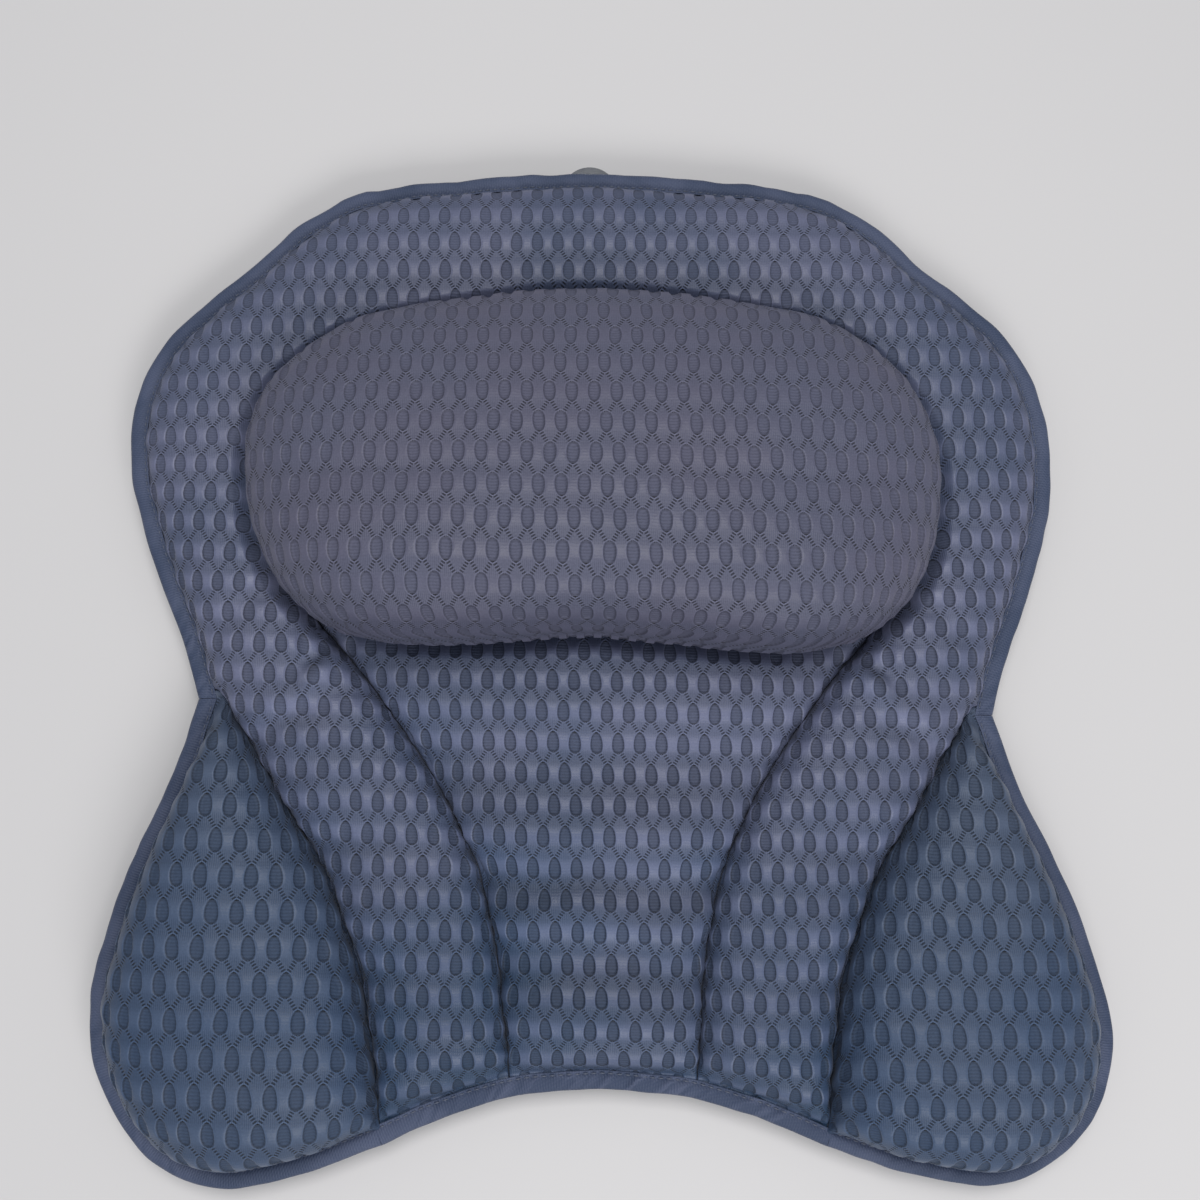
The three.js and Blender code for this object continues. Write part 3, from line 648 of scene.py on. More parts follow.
def stuffed_piece(name, crown, under, flat, repeat, finish, marks=()):
    """A closed stuffed piece: a fine grid over it, a coarser one under it, and a wall round both. Its
    finish can read the marks, which are a value for each point of the crown."""
    shape = bmesh.new()
    for grid in (crown, under):
        bmesh.ops.create_grid(shape, x_segments=grid.shape[1] - 1, y_segments=grid.shape[0] - 1, size=0.5)
    for corner, place in zip(shape.verts, np.vstack([crown.reshape(-1, 3), under.reshape(-1, 3)])):
        corner.co = place
    shape.verts.ensure_lookup_table()
    top = [shape.verts[i] for i in rim_of(*crown.shape[:2])]
    low = [shape.verts[i] for i in rim_of(*under.shape[:2], crown.shape[0] * crown.shape[1])]
    share = len(top) // len(low)
    for count in range(len(low)):
        strip = [top[(share * count + i) % len(top)] for i in range(share + 1)]
        shape.faces.new([low[count], low[(count + 1) % len(low)], *strip[::-1]])
    bmesh.ops.recalc_face_normals(shape, faces=shape.faces[:])
    piece = new_piece(name, shape, finish, smooth=math.radians(75))
    weave = piece.data.uv_layers.new(name="weave")
    corners = np.zeros(len(piece.data.loops), int)
    piece.data.loops.foreach_get("vertex_index", corners)
    places = np.vstack([flat.reshape(-1, 2), under[..., :2].reshape(-1, 2)]) / repeat
    weave.data.foreach_set("uv", places[corners].astype(np.float32).ravel())
    for mark, values in marks:
        values = np.concatenate([values.ravel(), np.zeros(under[..., 0].size)]).astype(np.float32)
        piece.data.attributes.new(mark, "FLOAT", "POINT").data.foreach_set("value", values)
    return piece


def knit_finish(name, satin, other, shine, contrast, taper=0.15):
    """Spacer mesh: a satin ground with rows of sunk ovals, and between the rows a zigzag of short
    slots. Fine ribs run upright round the zigzag and lie level in the ovals. The mark "sewn" is 1
    where stitches hold the knit flat, and "lean" is the slope of the folds along the pillow, which
    the colour follows as painted light and shade. The colour also holds painted shade in the
    ovals, a painted highlight on their rims and across the rows, and painted light towards the head."""
    finish, shader, thread = new_finish(name, Sheen_Weight=0.05, Sheen_Roughness=0.4, Specular_IOR_Level=0.36)
    weave = thread.make("ShaderNodeUVMap", {"uv_map": "weave"})
    across, along = weave.part(0), weave.part(1)
    where = thread.make("ShaderNodeTexCoord", output="Object")
    cloud = thread.make("ShaderNodeTexNoise", None, {"Vector": where, "Scale": 17.0, "Detail": 2.0})
    fuzz = thread.make("ShaderNodeTexNoise", None, {"Vector": where, "Scale": 1300.0, "Detail": 3.0})
    loose = 1 - thread.make("ShaderNodeAttribute", {"attribute_name": "sewn"}, None, "Fac")
    row = along.floor()
    down = along - row - 0.5
    side = (across - (row * 0.5).fraction() + 0.5).fraction() - 0.5
    tall = down / 0.350
    wide = side / (0.285 * (1 - taper * tall))
    oval = (abs(wide) ** 2.3 + abs(tall) ** 2.3) ** (1 / 2.3)
    inside = (1 - oval.rising(0.88, 0.97)) * loose
    wall = oval.rising(0.72, 0.92) * (1 - oval.rising(0.96, 1.03)) * loose
    rim = oval.rising(0.99, 1.04) * (1 - oval.rising(1.07, 1.20))
    line = (along + 0.5).floor()
    above = along - line
    beside = abs((across - (line * 0.5).fraction() + 0.5).fraction() - 0.5)
    off_track = abs(beside + 0.92 * above - 0.295)
    beat = abs(((above - 0.45 * beside) * 9.2).fraction() - 0.5)
    between = 1 - abs(above).rising(0.165, 0.19)
    track = (1 - off_track.rising(0.075, 0.120)) * between * (1 - inside) * loose
    slots = track * (1 - beat.rising(0.16, 0.34))
    beside_track = (1 - off_track.rising(0.09, 0.30)) * (1 - abs(above).rising(0.19, 0.30)) * (1 - inside)
    fan = beside_track * (beat.rising(0.15, 0.35) - 0.5)
    upright = (across * (2 * math.pi * 12)).sine() * abs(down).rising(0.12, 0.34) * (1 - inside)
    level = (along * (2 * math.pi * 10.5) + 3.0 * fuzz).sine() * (0.25 + 0.75 * inside)
    # A painted sheen highlight across the middle of each row, between the ovals. The knit is also made a little
    # glossier there.
    painted_sheen_band = (1 - abs(down).rising(0.06, 0.40)) * (1 - inside)
    # How strong the painted shade in the ovals and the painted sheen are; weaker towards the head.
    depth = contrast * (1 - 0.45 * where.part(1).rising(0.02, 0.12))
    # Painted shade darkens the walls of the ovals. It also partly darkens their insides, which are a little
    # darker in their own tone too. A painted highlight lightens the pale rim round each oval.
    tone = 0.90 - 0.17 * depth * inside - (0.24 + 0.10 * depth) * wall + 0.16 * rim
    tone = tone - 0.56 * slots + 0.16 * (track - slots) + 0.08 * upright + 0.08 * level
    tone = tone + 0.26 * depth * painted_sheen_band + 0.38 * (fuzz - 0.5) + 0.14 * fan
    # Painted light and shade on the folds: the colour is lightened on one slope of each fold and darkened on the
    # other.
    lean = thread.make("ShaderNodeAttribute", {"attribute_name": "lean"}, None, "Fac")
    tone = tone * (1 + 0.85 * lean)
    # Painted light: the knit is painted lighter and more violet towards the head end.
    lit_toward_head = where.part(1).rising(-0.20, 0.00)
    hue = 0.30 * cloud.rising(0.32, 0.68) + 0.50 * lit_toward_head + 0.20 * painted_sheen_band
    # The second colour is where the painted light and sheen are, and the first where they are not. Random clouds
    # also mix the two.
    bright = hue.blended(tuple(2 * c for c in satin) + (1,), tuple(2 * c for c in other) + (1,))
    (tone * 0.5).blended((0, 0, 0, 1), bright).feeds(shader, "Base Color")
    (shine + 0.22 * inside + 0.2 * slots + 0.10 * fuzz - 0.08 * painted_sheen_band).feeds(shader, "Roughness")
    height = 0.12 * upright + 0.20 * level + 0.15 * rim - 0.9 * slots + 0.25 * fan + 0.45 * fuzz
    height.raises(shader, 0.9, 0.00024)
    return finish


# The second colour is much lighter: it carries the painted light at the head end and in the sheen bands.
pad_mesh = knit_finish("pad_mesh", (0.026, 0.057, 0.116), (0.122, 0.134, 0.214), 0.44, 1.12)

flank_length = wing_seam.length
flank_run = np.linspace(foot_tuck / flank_length, flank_end_share, 260)
flank_rise = rolled_up(flank_run * flank_length - foot_lift, foot_roll)
flank_bow = np.zeros((len(flank_run), 2))
foot_sag = on_plan((0.2986, 0.065)) - (on_plan(seam_foot) + on_plan(inner_foot)) / 2
flank_bow[:, 1] = foot_sag[1] * np.maximum(1 - 3 * flank_run * flank_length / pillow_length, 0)
flank = stationed(
    (wing_seam.at(flank_run, wing_gap), inner_seam.at(flank_run * flank_share / 2, -seam_gap)),
    (
        wing_seam.at(flank_run, wing_gap + seam_margin),
        inner_seam.at(flank_run * flank_share / 2, -seam_gap - seam_margin),
    ),
    flange + flank_rise * (flank_loft - flange),
    flank_bow,
)
collar_run = np.linspace(collar_start_share, 1, 400)
collar_inner = (flank_share + (1 - flank_share) * collar_run) / 2
collar = stationed(
    (head_edge.at(collar_run / 2, taped_edge), inner_seam.at(collar_inner, -seam_gap)),
    (head_edge.at(collar_run / 2, taped_foot), inner_seam.at(collar_inner, -seam_gap - seam_margin)),
    flank_loft + (quilt_loft - flank_loft) * eased(collar_run, 0, 0.3),
    np.zeros((len(collar_run), 2)),
)
right_arch = np.vstack([flank, collar])
arch_stations = np.vstack([right_arch, mirrored_stations(right_arch[-2::-1])])


def pressed_in(points):
    """How far the headrest presses the cloth down: wholly under it, and less on a slope round it."""
    offset = points[..., :2] - headrest_centre
    turn = np.arctan2(offset[..., 1], offset[..., 0])
    past = np.linalg.norm(offset, axis=2) - headrest_reach(turn)
    at_neck = eased(-np.sin(turn), 0.0, 0.7)
    at_head = eased(np.sin(turn), 0.0, 0.8)
    start = 0.0030 - 0.0100 * at_neck + 0.0015 * at_head
    end = 0.0108 - 0.0025 * at_neck - 0.0005 * at_head
    return 1 - eased(past, start, end)


def crumples(points):
    """Slanting folds in the surround beside the headrest's lower corners, and faint ones round it."""
    x, y = np.abs(points[..., 0]), points[..., 1]
    height = 0
    for at_x, at_y, slant, size, width, reach in (
        (0.120, -0.012, 0.9, -0.0016, 0.0045, 0.020), (0.127, -0.024, 0.7, 0.0011, 0.0050, 0.022),
        (0.112, 0.000, 1.2, 0.0010, 0.0040, 0.016), (0.134, -0.040, 0.5, -0.0013, 0.0060, 0.026),
        (0.150, 0.010, 0.8, -0.0009, 0.0060, 0.022), (0.128, -0.068, 0.3, 0.0009, 0.0080, 0.030),
        (0.112, -0.090, 0.2, -0.0011, 0.0075, 0.028), (0.100, -0.118, 0.1, 0.0009, 0.0080, 0.026),
        (0.098, -0.142, 0.0, -0.0010, 0.0075, 0.024),
    ):
        along_fold = (x - at_x) * math.cos(slant) - (y - at_y) * math.sin(slant)
        off_fold = (x - at_x) * math.sin(slant) + (y - at_y) * math.cos(slant)
        off_fold = off_fold + 0.0016 * wandering(along_fold, int(1000 * at_x), (0.03,))
        height = height + size * np.exp(-((off_fold / width) ** 2) - (along_fold / reach) ** 2)
    return height


def quilted(name, stations, columns, repeat, finish, phase, puckers, folds=None):
    """A quilted channel: its crown, the knit sunk into it, and the puckers that its stitches draw."""
    columns = 4 * int(columns / close_up / 4) + 1
    rows = evened(stations, step_size)
    crown = crown_over(rows, columns)
    flat = laid_flat(crown) - phase
    facing = outward(crown)
    near, far = edge_distances(crown)
    run = np.arange(len(crown)) * step_size
    ends = np.minimum(run, run[::-1])[:, None]
    clear = eased(near, 0.0015, 0.0045) * eased(far, 0.0015, 0.0045) * eased(ends, 0.0022, 0.0078)
    relief = knit_relief(flat[..., 0] / repeat[0], flat[..., 1] / repeat[1], swelling) * clear
    relief = relief * (1 - 0.3 * eased(crown[..., 1], 0.02, 0.12))
    for seed, (distance, strength) in enumerate(zip((near, far), puckers)):
        drawn = wandering(run[:, None] + 0.3 * distance, 11 + seed + len(name), (0.006, 0.010, 0.019))
        relief = relief + strength * drawn * np.exp(-distance / 0.007) * eased(distance, 0.0, 0.0025)
    marks = [("sewn", 1 - clear)]
    if folds is not None:
        height, height_beyond = folds(crown), folds(crown + (0, 0.0005, 0))
        relief = relief + height * clear
        # The slope of the folds, which the knit's colour follows as painted light and shade.
        marks.append(("lean", (height_beyond - height) / 0.0005 * clear))
    crown = crown + facing * relief[..., None]
    crown[..., 2] -= pressed_in(crown) * np.maximum(crown[..., 2] - bed_level, 0)
    under = floor_under(rows[::4], (columns - 1) // 4 + 1)
    return stuffed_piece(name, settled(crown), under, flat, np.array(repeat), finish, marks)


surround = quilted(
    "surround", arch_stations, 104, (pitch_across, pitch_along), pad_mesh, (0, 0), (0.0013, 0.0014), crumples
)
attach(surround, "pad")
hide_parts("surround_cover", "surround_filling")


# Centre: one panel of the same mesh between the two inner seams. Its wadding is quilted softly, so
# shallow folds run across it, and its far end lies under the headrest.
centre_end_share = 0.91
past_flank = np.linspace(collar_start_share, (centre_end_share - flank_share) / (1 - flank_share), 200)
centre_run = np.concatenate([
    flank_run * flank_share / 2,
    (flank_share + (1 - flank_share) * past_flank) / 2,
])
centre_rise = np.concatenate([flank_rise, np.ones(200)])
centre_side = inner_seam.at(centre_run, seam_gap)
centre_rise = np.minimum(centre_rise, rolled_up(centre_side[-1, 1] - centre_side[:, 1], foot_roll))
centre_bow = np.zeros((len(centre_run), 2))
centre_bow[:, 1] = (on_plan((0, 0.089)) - on_plan(inner_foot))[1] * np.maximum(1 - 10 * centre_run, 0)
centre_foot = inner_seam.at(centre_run, seam_gap + seam_margin)
centre_stations = stationed(
    (centre_side, mirrored(centre_side)),
    (centre_foot, mirrored(centre_foot)),
    flange + centre_rise * (quilt_loft - flange),
    centre_bow,
)


def across_folds(points):
    """Shallow folds across the panel, ridges and hollows by turns, from the headrest to the foot."""
    x, y = points[..., 0], points[..., 1]
    height = 0
    for place, size, width, lean, seed in (
        (-0.027, 0.0012, 0.010, 0.01, 0), (-0.053, -0.0020, 0.013, 0.02, 1),
        (-0.081, 0.0021, 0.012, 0.03, 2), (-0.102, -0.0021, 0.009, -0.02, 3),
        (-0.117, 0.0018, 0.008, 0.02, 4), (-0.135, -0.0019, 0.009, -0.02, 5),
        (-0.159, 0.0016, 0.011, 0.01, 6),
    ):
        line = place + lean * x + 0.004 * wandering(x, seed, (0.09, 0.05))
        uneven = 0.7 + 0.3 * wandering(x, seed + 20, (0.08,))
        height = height + size * np.exp(-(((y - line) / width) ** 2)) * uneven
    return height


centre = quilted(
    "centre", centre_stations, 260, (pitch_across, pitch_along), pad_mesh, (-0.0006, 0.0002), (0.0012, 0.0012),
    across_folds,
)
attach(centre, "pad")
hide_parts("centre_cover", "centre_filling")


# Wings: puffed pads of a slightly larger knit, sewn on along the wing seams. Each is stuffed fuller
# than the pad, and tapers to nothing at the waist.
wing_loft = 0.034
wing_roll = 0.062
wing_repeat = (0.0101, 0.0142)
wing_mesh = knit_finish("wing_mesh", (0.038, 0.068, 0.134), (0.076, 0.100, 0.155), 0.48, 0.85)
wing_run = np.linspace(0.008, 0.992, 320)
wing_rise = np.minimum(
    rolled_up((wing_run - 0.045) * flank_length, 2 * wing_roll) * eased(wing_run, 0.03, 0.12),
    rolled_up((0.968 - wing_run) * flank_length, wing_roll),
)
wing_stations = stationed(
    (wing_seam.at(1 - wing_run, -wing_gap), wing_edge.at(wing_run, -taped_edge)),
    (wing_seam.at(1 - wing_run, -wing_gap - seam_margin), wing_edge.at(wing_run, -taped_foot)),
    flange + wing_rise * (wing_loft - flange),
    np.zeros((len(wing_run), 2)),
)
for side in ("left", "right"):
    stations = wing_stations if side == "right" else mirrored_stations(wing_stations)
    wing = quilted(side + "_wing_pad", stations, 150, wing_repeat, wing_mesh, (0, 0.004), (0.0014, 0.0010))
    fold_with_wing(wing, side)
    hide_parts(side + "_wing_cover", side + "_wing_filling")


# Headrest: a firm kidney-shaped cushion in a cover of the same mesh, closed underneath by its lining
# and sewn to the pad. It is square over the neck and slopes easily to the head.
headrest_height = 0.0565
headrest_bulge = 0.015
headrest_inset = 0.0065
seat_level = 0.0286
head_repeat = (0.0091, 0.0140)
headrest_taper = 0.06
headrest_mesh = knit_finish(
    "headrest_mesh", (0.090, 0.106, 0.170), (0.108, 0.108, 0.165), 0.46, 0.25, headrest_taper
)


def dome_height(share, y, neck_y):
    """The dome's height at a share of its reach: thinner to the head, and squarer to the neck."""
    past = np.maximum((y - neck_line) / headrest_length - 0.2, 0) / 0.8
    thick = headrest_height * (1 - 0.4 * past)
    neck = np.clip(neck_y / (0.44 * headrest_length), 0, 1)
    square = 2.7 + 3.0 * neck
    return headrest_bulge + (thick - headrest_bulge) * np.sqrt(1 - share**square)


def headrest_table(turns, steps):
    """The headrest's skin as evenly spaced steps from its middle to its base, in each direction."""
    skin = []
    inset = 1 - headrest_inset / (headrest_length / 2)
    base = bed_level + 0.0004 - seat_level
    for angle in np.linspace(-np.pi, np.pi, turns):
        way = np.array((np.cos(angle), np.sin(angle)))
        reach = headrest_reach(angle)
        share = np.sin(np.linspace(0, np.pi / 2, 160))
        place = headrest_centre + way * (reach * share)[:, None]
        height = dome_height(share, place[:, 1], -way[1] * reach)
        tuck = np.linspace(0, np.pi / 2, 14)[1:]
        low_share = inset + (1 - inset) * np.cos(tuck) ** 0.8
        low_height = headrest_bulge - (headrest_bulge - base) * np.sin(tuck)
        lip = 0.0011 * float(eased(-way[1], -0.1, 0.35)) * np.exp(-(((low_height - 0.0125) / 0.0011) ** 2))
        low_share = low_share + lip / reach
        place = np.vstack([place, headrest_centre + way * (reach * low_share)[:, None]])
        line = np.column_stack([place, seat_level + np.concatenate([height, low_height])])
        run = np.concatenate([[0], np.cumsum(np.linalg.norm(np.diff(line, axis=0), axis=1))])
        even = np.linspace(0, run[-1], steps)
        skin.append(np.column_stack([np.interp(even, run, axis) for axis in line.T]))
    return np.array(skin)


def from_table(table, first, second):
    """Values between a table's entries, at fractional places in its first two directions."""
    row = np.clip(first * (table.shape[0] - 1), 0, table.shape[0] - 1.000001)
    column = np.clip(second * (table.shape[1] - 1), 0, table.shape[1] - 1.000001)
    i, j = row.astype(int), column.astype(int)
    a, b = (row - i)[..., None], (column - j)[..., None]
    low = table[i, j] * (1 - b) + table[i, j + 1] * b
    high = table[i + 1, j] * (1 - b) + table[i + 1, j + 1] * b
    return low * (1 - a) + high * a


def share_of(part, whole):
    return np.divide(part, whole, out=np.zeros_like(part), where=np.abs(whole) > 1e-9)


half_columns = 4 * int(0.43 / step_size / 4) + 1
half_rows = 4 * int(0.28 / step_size / 4) + 1
sides, ups = np.meshgrid(np.linspace(-1, 1, half_columns), np.linspace(-1, 1, half_rows))
ring = np.maximum(np.abs(sides), np.abs(ups))
wide = np.abs(sides) >= np.abs(ups)
corner = np.pi / 4
turned = np.where(
    wide,
    np.where(sides > 0, 0, np.pi) + corner * share_of(ups, sides),
    np.where(ups > 0, 1, -1) * np.pi / 2 - corner * share_of(sides, ups),
)
turned = (turned + np.pi) % (2 * np.pi) - np.pi
stretch = np.arctan2(np.sin(turned) * 0.62, np.cos(turned))
table = headrest_table(721, 241)
skin = from_table(table, (stretch + np.pi) / (2 * np.pi), ring)
reach = headrest_reach(stretch)
way = np.dstack([np.cos(stretch), np.sin(stretch)])
spacing = 0.0005
grid_x = np.arange(-0.150, 0.1501, spacing)
grid_y = np.arange(neck_line - 0.003, neck_line + headrest_length + 0.003, spacing)
map_x, map_y = np.meshgrid(grid_x, grid_y)
offset = np.dstack([map_x, map_y]) - headrest_centre
map_turn = np.arctan2(offset[..., 1], offset[..., 0])
map_reach = headrest_reach(map_turn)
part = np.minimum(np.linalg.norm(offset, axis=2) / map_reach, 0.97)
held_y = headrest_centre[1] + np.sin(map_turn) * map_reach * part
height = dome_height(part, held_y, -np.sin(map_turn) * map_reach)
walk_x = np.sqrt(1 + np.gradient(height, spacing, axis=1) ** 2).cumsum(axis=1) * spacing
walk_y = np.sqrt(1 + np.gradient(height, spacing, axis=0) ** 2).cumsum(axis=0) * spacing
middle = len(grid_x) // 2
centre_row = int((headrest_centre[1] - grid_y[0]) / spacing)
walked = np.dstack([walk_x - walk_x[:, middle:middle + 1], walk_y - walk_y[centre_row:centre_row + 1]])
turn_steps = np.linspace(-np.pi, np.pi, table.shape[0])
table_way = np.dstack([np.cos(turn_steps), np.sin(turn_steps)])[0]
table_reach = headrest_reach(turn_steps)
planar = np.linalg.norm(table[..., :2] - headrest_centre, axis=2) / table_reach[:, None]
flat_table = np.zeros(table.shape[:2] + (2,))
for index in range(len(table)):
    last = int(np.argmax(planar[index] > 0.965))
    held = table[index, :last + 1, :2]
    up_map = (held[:, 1] - grid_y[0]) / (grid_y[-1] - grid_y[0])
    across_map = (held[:, 0] - grid_x[0]) / (grid_x[-1] - grid_x[0])
    flat_table[index, :last + 1] = from_table(walked, up_map, across_map)
    on = np.linalg.norm(np.diff(table[index, last:], axis=0), axis=1).cumsum()
    flat_table[index, last + 1:] = flat_table[index, last] + table_way[index] * on[:, None]
head_flat = (0.00505, 0.0) - from_table(flat_table, (stretch + np.pi) / (2 * np.pi), ring)
facing = outward(skin)
clear = 1 - eased(ring, 0.955, 0.985)
knit_across, knit_along = head_flat[..., 0] / head_repeat[0], head_flat[..., 1] / head_repeat[1]
relief = knit_relief(knit_across, knit_along, swelling / 2, headrest_taper) * clear
across_dents = wandering(skin[..., 0] + 0.4 * skin[..., 1], 5, (0.07, 0.045))
along_dents = wandering(skin[..., 1] - 0.3 * skin[..., 0], 6, (0.06, 0.04))
relief = relief + 0.0009 * (across_dents * along_dents) * (1 - eased(ring, 0.7, 0.95))
skin = skin + facing * relief[..., None]
lining_ring = np.maximum(np.abs(sides[::4, ::4]), np.abs(ups[::4, ::4]))
base_ring = from_table(table, (stretch[::4, ::4] + np.pi) / (2 * np.pi), np.ones_like(lining_ring))
under = np.dstack([
    headrest_centre + (base_ring[..., :2] - headrest_centre) * lining_ring[..., None],
    np.full(lining_ring.shape, bed_level + 0.0002),
])
headrest = stuffed_piece(
    "headrest", settled(skin), settled(under), head_flat, np.array(head_repeat), headrest_mesh
)
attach(headrest, "pad")
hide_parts("headrest_cover", "headrest_core", "headrest_lining")


# Edge tape: a woven tape folded over the raw edges and stitched through along its inner side. One
# length runs round the head end, one along the foot, and one round each wing.
tape_outside = [
    (8.0, 17.2), (7.5, 17.35), (7.0, 17.15), (6.6, 17.25), (6.0, 17.6), (4.6, 17.8), (3.2, 17.8), (2.0, 17.55),
    (1.1, 17.0), (0.4, 16.0), (0.0, 14.4), (0.4, 12.8), (1.1, 11.8), (2.4, 11.25), (5.0, 11.2), (8.0, 11.2),
]
tape_inside = [
    (8.0, 12.1), (5.0, 12.1), (2.6, 12.15), (1.4, 13.0), (1.0, 14.4), (1.4, 15.8), (2.6, 16.55), (5.0, 16.7),
    (8.0, 16.6),
]
tape_section = np.array(tape_outside + tape_inside) / 1000
tape_gap = 0.00015
thread_finish, thread_shader, thread = new_finish("sewing_thread", Roughness=0.5)
where = thread.make("ShaderNodeTexCoord", output="Object")
twist = thread.make("ShaderNodeTexNoise", None, {"Vector": where, "Scale": 1800.0, "Detail": 2.0})
twist.blended((0.055, 0.070, 0.115, 1), (0.10, 0.118, 0.17, 1)).feeds(thread_shader, "Base Color")
tape_finish, tape_shader, thread = new_finish(
    "edge_tape", Sheen_Weight=0.05, Sheen_Roughness=0.4, Specular_IOR_Level=0.35
)
weave = thread.make("ShaderNodeUVMap", {"uv_map": "weave"})
along, across = weave.part(0), weave.part(1)
cord = (along * (2 * math.pi / 0.0011)).sine()
twill = ((along + across) * (2 * math.pi / 0.0016)).sine()
where = thread.make("ShaderNodeTexCoord", output="Object")
cloud = thread.make("ShaderNodeTexNoise", None, {"Vector": where, "Scale": 40.0, "Detail": 3.0})
fuzz = thread.make("ShaderNodeTexNoise", None, {"Vector": where, "Scale": 1400.0, "Detail": 2.0})
# Painted shade in the creases of the tape's gathers and painted light on their ridges, from the mark that
# tape_piece sets.
gather_shade = thread.make("ShaderNodeAttribute", {"attribute_name": "gather_shade"}, None, "Fac")
shade = cloud.rising(0.3, 0.7) + 0.18 * cord + 0.3 * (fuzz - 0.5) + 0.9 * gather_shade
shade.blended((0.042, 0.061, 0.117, 1), (0.071, 0.091, 0.160, 1)).feeds(tape_shader, "Base Color")
(0.52 + 0.12 * fuzz).feeds(tape_shader, "Roughness")
(cord + 0.6 * twill + fuzz).raises(tape_shader, 0.5, 0.00015)


stitch_depth = 0.0069
stitch_pitch = 0.0034
stitch_length = 0.0026
stitch_level = 0.01725
deepest_gather = 0.00045


def tape_rows(line, run, depth, inward, seed, mitres):
    """Places over a tape at runs along it and depths in from its edge. It wanders a little, and its
    ends are cut on the slant to meet the next tape."""
    shares = run / line.length
    sway = 0.00028 * wandering(run, seed + 3, (0.035, 0.07)) * np.minimum(run, line.length - run) / 0.05
    sway = np.clip(sway, -0.0005, 0.0005)
    middle = line.place(run)
    square = (line.at(shares, inward * 0.001) - middle) * 1000
    heading = np.column_stack([square[:, 1], -square[:, 0]]) * inward
    slant = mitres[1] * (1 - eased(line.length - run, 0.0, 0.012)) - mitres[0] * (1 - eased(run, 0.0, 0.012))
    places = middle[:, None] + square[:, None] * (depth[None] + sway[:, None])[..., None]
    return settled(places + heading[:, None] * (slant[:, None] * depth[None])[..., None])


def tape_piece(name, line, inward, seed, gathers=(), mitres=(0, 0)):
    """Edge tape swept along a line, with the small waves that sewing leaves in it, gathers at the
    given shares of its length, and the stitches through it. A mark on its points paints shade into
    the creases of the gathers and light onto their ridges."""
    count = int(line.length / (0.0011 * close_up))
    run = np.linspace(tape_gap, line.length - tape_gap, count)
    depth, height = tape_section.T
    rows = tape_rows(line, run, depth, inward, seed, mitres)
    upper = eased(height, 0.0135, 0.0165) * eased(depth, 0.0, 0.002)
    strength = np.full(count, 0.00020)
    for share, size, width in gathers:
        strength = strength + size * np.exp(-(((run - share * line.length) / width) ** 2))
    lean = run[:, None] + 0.9 * depth[None]
    wave = wandering(lean, seed, (0.007, 0.012, 0.024)) * strength[:, None]
    crease = np.exp(-((wandering(lean, seed + 5, (0.010, 0.014)) / 0.20) ** 2)) * (strength[:, None] - 0.0002)
    crease = crease * (1 - eased(depth, 0.0045, 0.0066))[None]
    lift = wave - crease - 0.3 * strength[:, None] * eased(depth, 0.0055, 0.0072)[None]
    lift = np.maximum(lift, -deepest_gather) * upper[None]
    section = np.dstack([rows, height[None] + lift])
    shape = bmesh.new()
    # A mark for painted shade in the creases of the gathers and painted light on their ridges.
    gather_shade = shape.verts.layers.float.new("gather_shade")
    bmesh.ops.create_grid(shape, x_segments=len(depth), y_segments=count - 1, size=0.5)
    # The painted shade and light of the gathers: negative in the creases, positive on the ridges.
    drawn = np.clip((wave - 1.5 * crease) / 0.001, -1.0, 1.0)
    for corner, amount in zip(shape.verts, np.concatenate([drawn, drawn[:, :1]], axis=1).ravel()):
        corner[gather_shade] = amount
    for corner, place in zip(shape.verts, np.concatenate([section, section[:, :1]], axis=1).reshape(-1, 3)):
        corner.co = place
    steps = np.linalg.norm(np.diff(np.vstack([tape_section, tape_section[:1]]), axis=0), axis=1)
    girth = np.concatenate([[0], np.cumsum(steps)])
    flat = np.dstack(np.broadcast_arrays(run[:, None], girth[None])).reshape(-1, 2)
    weave = shape.loops.layers.uv.new("weave")
    for face in shape.faces:
        for loop in face.loops:
            loop[weave].uv = flat[loop.vert.index]
    bmesh.ops.remove_doubles(shape, verts=shape.verts[:], dist=1e-6)
    bmesh.ops.holes_fill(shape, edges=[e for e in shape.edges if e.is_boundary], sides=0)
    bmesh.ops.recalc_face_normals(shape, faces=shape.faces[:])
    piece = new_piece(name, shape, tape_finish, smooth=math.radians(50))
    starts = np.arange(0.003, line.length - 0.004, stitch_pitch)
    heads, tails = (
        tape_rows(line, starts + extra, np.array([stitch_depth]), inward, seed, mitres)[:, 0]
        for extra in (0, stitch_length)
    )
    seam = bmesh.new()
    for head, tail in zip(heads, tails):
        middle = (head + tail) / 2
        turn = math.atan2(tail[1] - head[1], tail[0] - head[0])
        size = Matrix.Diagonal((np.linalg.norm(tail - head) / 2, 0.00032, 0.00028, 1))
        stand = Matrix.Translation((*middle, stitch_level)) @ Matrix.Rotation(turn, 4, "Z") @ size
        bmesh.ops.create_uvsphere(seam, u_segments=6, v_segments=4, radius=1, matrix=stand)
    stitches = new_piece(name + "_stitches", seam, thread_finish)
    return piece, stitches


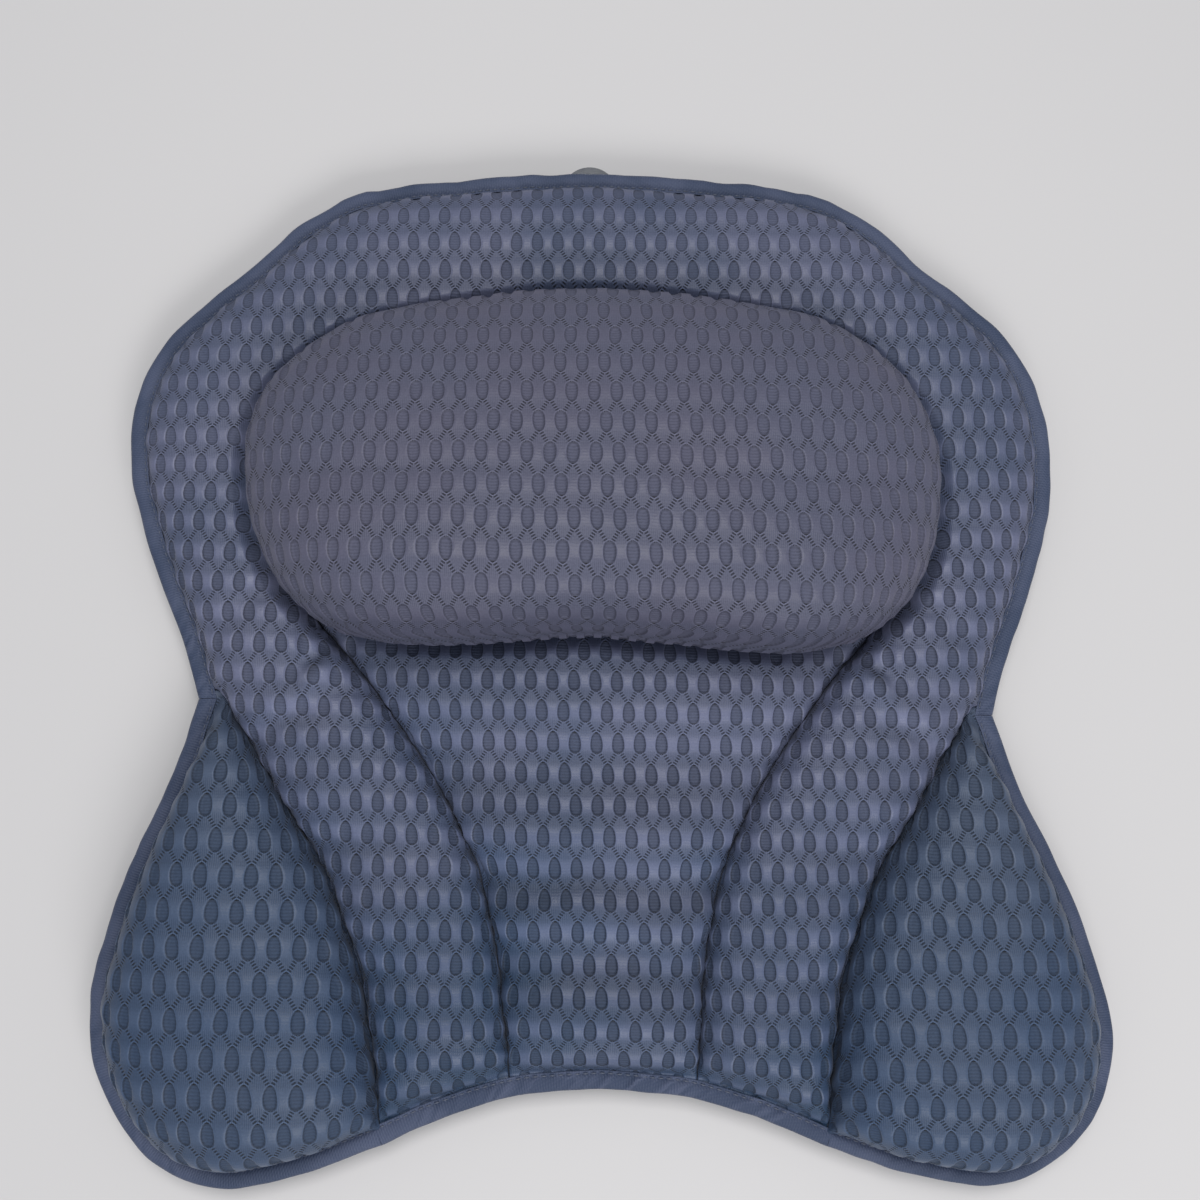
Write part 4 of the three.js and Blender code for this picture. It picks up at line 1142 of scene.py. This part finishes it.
waist_mitre = 0.32
head_tape, head_stitches = tape_piece(
    "head_tape", head_edge, 1, 31, ((0.0, 0.0005, 0.02), (0.980, 0.0015, 0.022)), (waist_mitre, waist_mitre)
)
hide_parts("head_edge_tape")
foot_tape, foot_stitches = tape_piece(
    "foot_tape", foot_edge, -1, 32, ((0.36, 0.0010, 0.06), (0.62, 0.0009, 0.05))
)
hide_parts("foot_edge_tape")
for piece in (head_tape, head_stitches, foot_tape, foot_stitches):
    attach(piece, "pad")
left_wing_edge = SewingLine(mirrored(wing_edge.at(np.linspace(0, 1, 400))))
for side, edge, inward in (("left", left_wing_edge, 1), ("right", wing_edge, -1)):
    wing_tape, wing_stitches = tape_piece(
        side + "_wing_binding", edge, inward, 33 + len(side), ((0.0, 0.0003, 0.015), (0.62, 0.0003, 0.06)),
        (waist_mitre, 0),
    )
    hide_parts(side + "_wing_tape")
    for piece in (wing_tape, wing_stitches):
        fold_with_wing(piece, side)


# Studio: a pale floor that the cups stand on, a broad lamp overhead, a lower one past the foot and an
# even surround. The camera looks down at the pillow from just below its foot.
camera = bpy.data.objects.new("camera", bpy.data.cameras.new("camera"))
bpy.context.scene.collection.objects.link(camera)
bpy.context.scene.camera = camera
photo_width, focal_length = 1200, 1316
camera.data.sensor_width = 36
camera.data.lens = 36 * focal_length / photo_width
camera.data.clip_end = 20
tilt, roll, sway = (math.radians(angle) for angle in (8.0, -0.101, -0.812))
looking = Vector((0, math.sin(tilt), -math.cos(tilt)))
right = Vector((1, 0, 0))
up = right.cross(looking)
right, up = right * math.cos(roll) + up * math.sin(roll), up * math.cos(roll) - right * math.sin(roll)
swing = Matrix.Rotation(sway, 3, "Y")
looking, right, up = swing @ looking, swing @ right, swing @ up
camera_distance = 0.57894
looked_at = Vector((0.00189, lowest_y + 0.2463, 0.0144))
eye = looked_at - looking * camera_distance
turned = Matrix((right, up, -looking)).transposed().to_4x4()
camera.matrix_world = Matrix.Translation(eye) @ turned

floor_finish, floor_shader, thread = new_finish("floor", Roughness=0.9, Specular_IOR_Level=0.2)
floor_shader.inputs["Base Color"].default_value = (0.66, 0.655, 0.665, 1)
floor_shape = bmesh.new()
bmesh.ops.create_grid(floor_shape, x_segments=1, y_segments=1, size=4)
floor = new_piece("floor", floor_shape, floor_finish)

for lamp_name, lamp_place, lamp_width, energy in (
    ("lamp_overhead", (0.0, 0.45, 1.50), 0.70, 11.4), ("lamp_low", (0.30, -1.05, 0.95), 0.90, 9.2),
):
    lamp = bpy.data.objects.new(lamp_name, bpy.data.lights.new(lamp_name, "AREA"))
    lamp.data.shape = "RECTANGLE"
    lamp.data.size = lamp_width
    lamp.data.size_y = 0.55
    lamp.data.energy = energy
    lamp.data.color = (1.0, 0.985, 0.97)
    aim = (-Vector(lamp_place)).to_track_quat("-Z", "Y").to_matrix().to_4x4()
    lamp.matrix_world = Matrix.Translation(lamp_place) @ aim
    bpy.context.scene.collection.objects.link(lamp)

world = bpy.data.worlds.new("surround")
bpy.context.scene.world = world
world.use_nodes = True
background = world.node_tree.nodes["Background"]
background.inputs["Color"].default_value = (0.95, 0.97, 1.0, 1)
background.inputs["Strength"].default_value = 0.36

bpy.context.scene.view_settings.view_transform = "Standard"
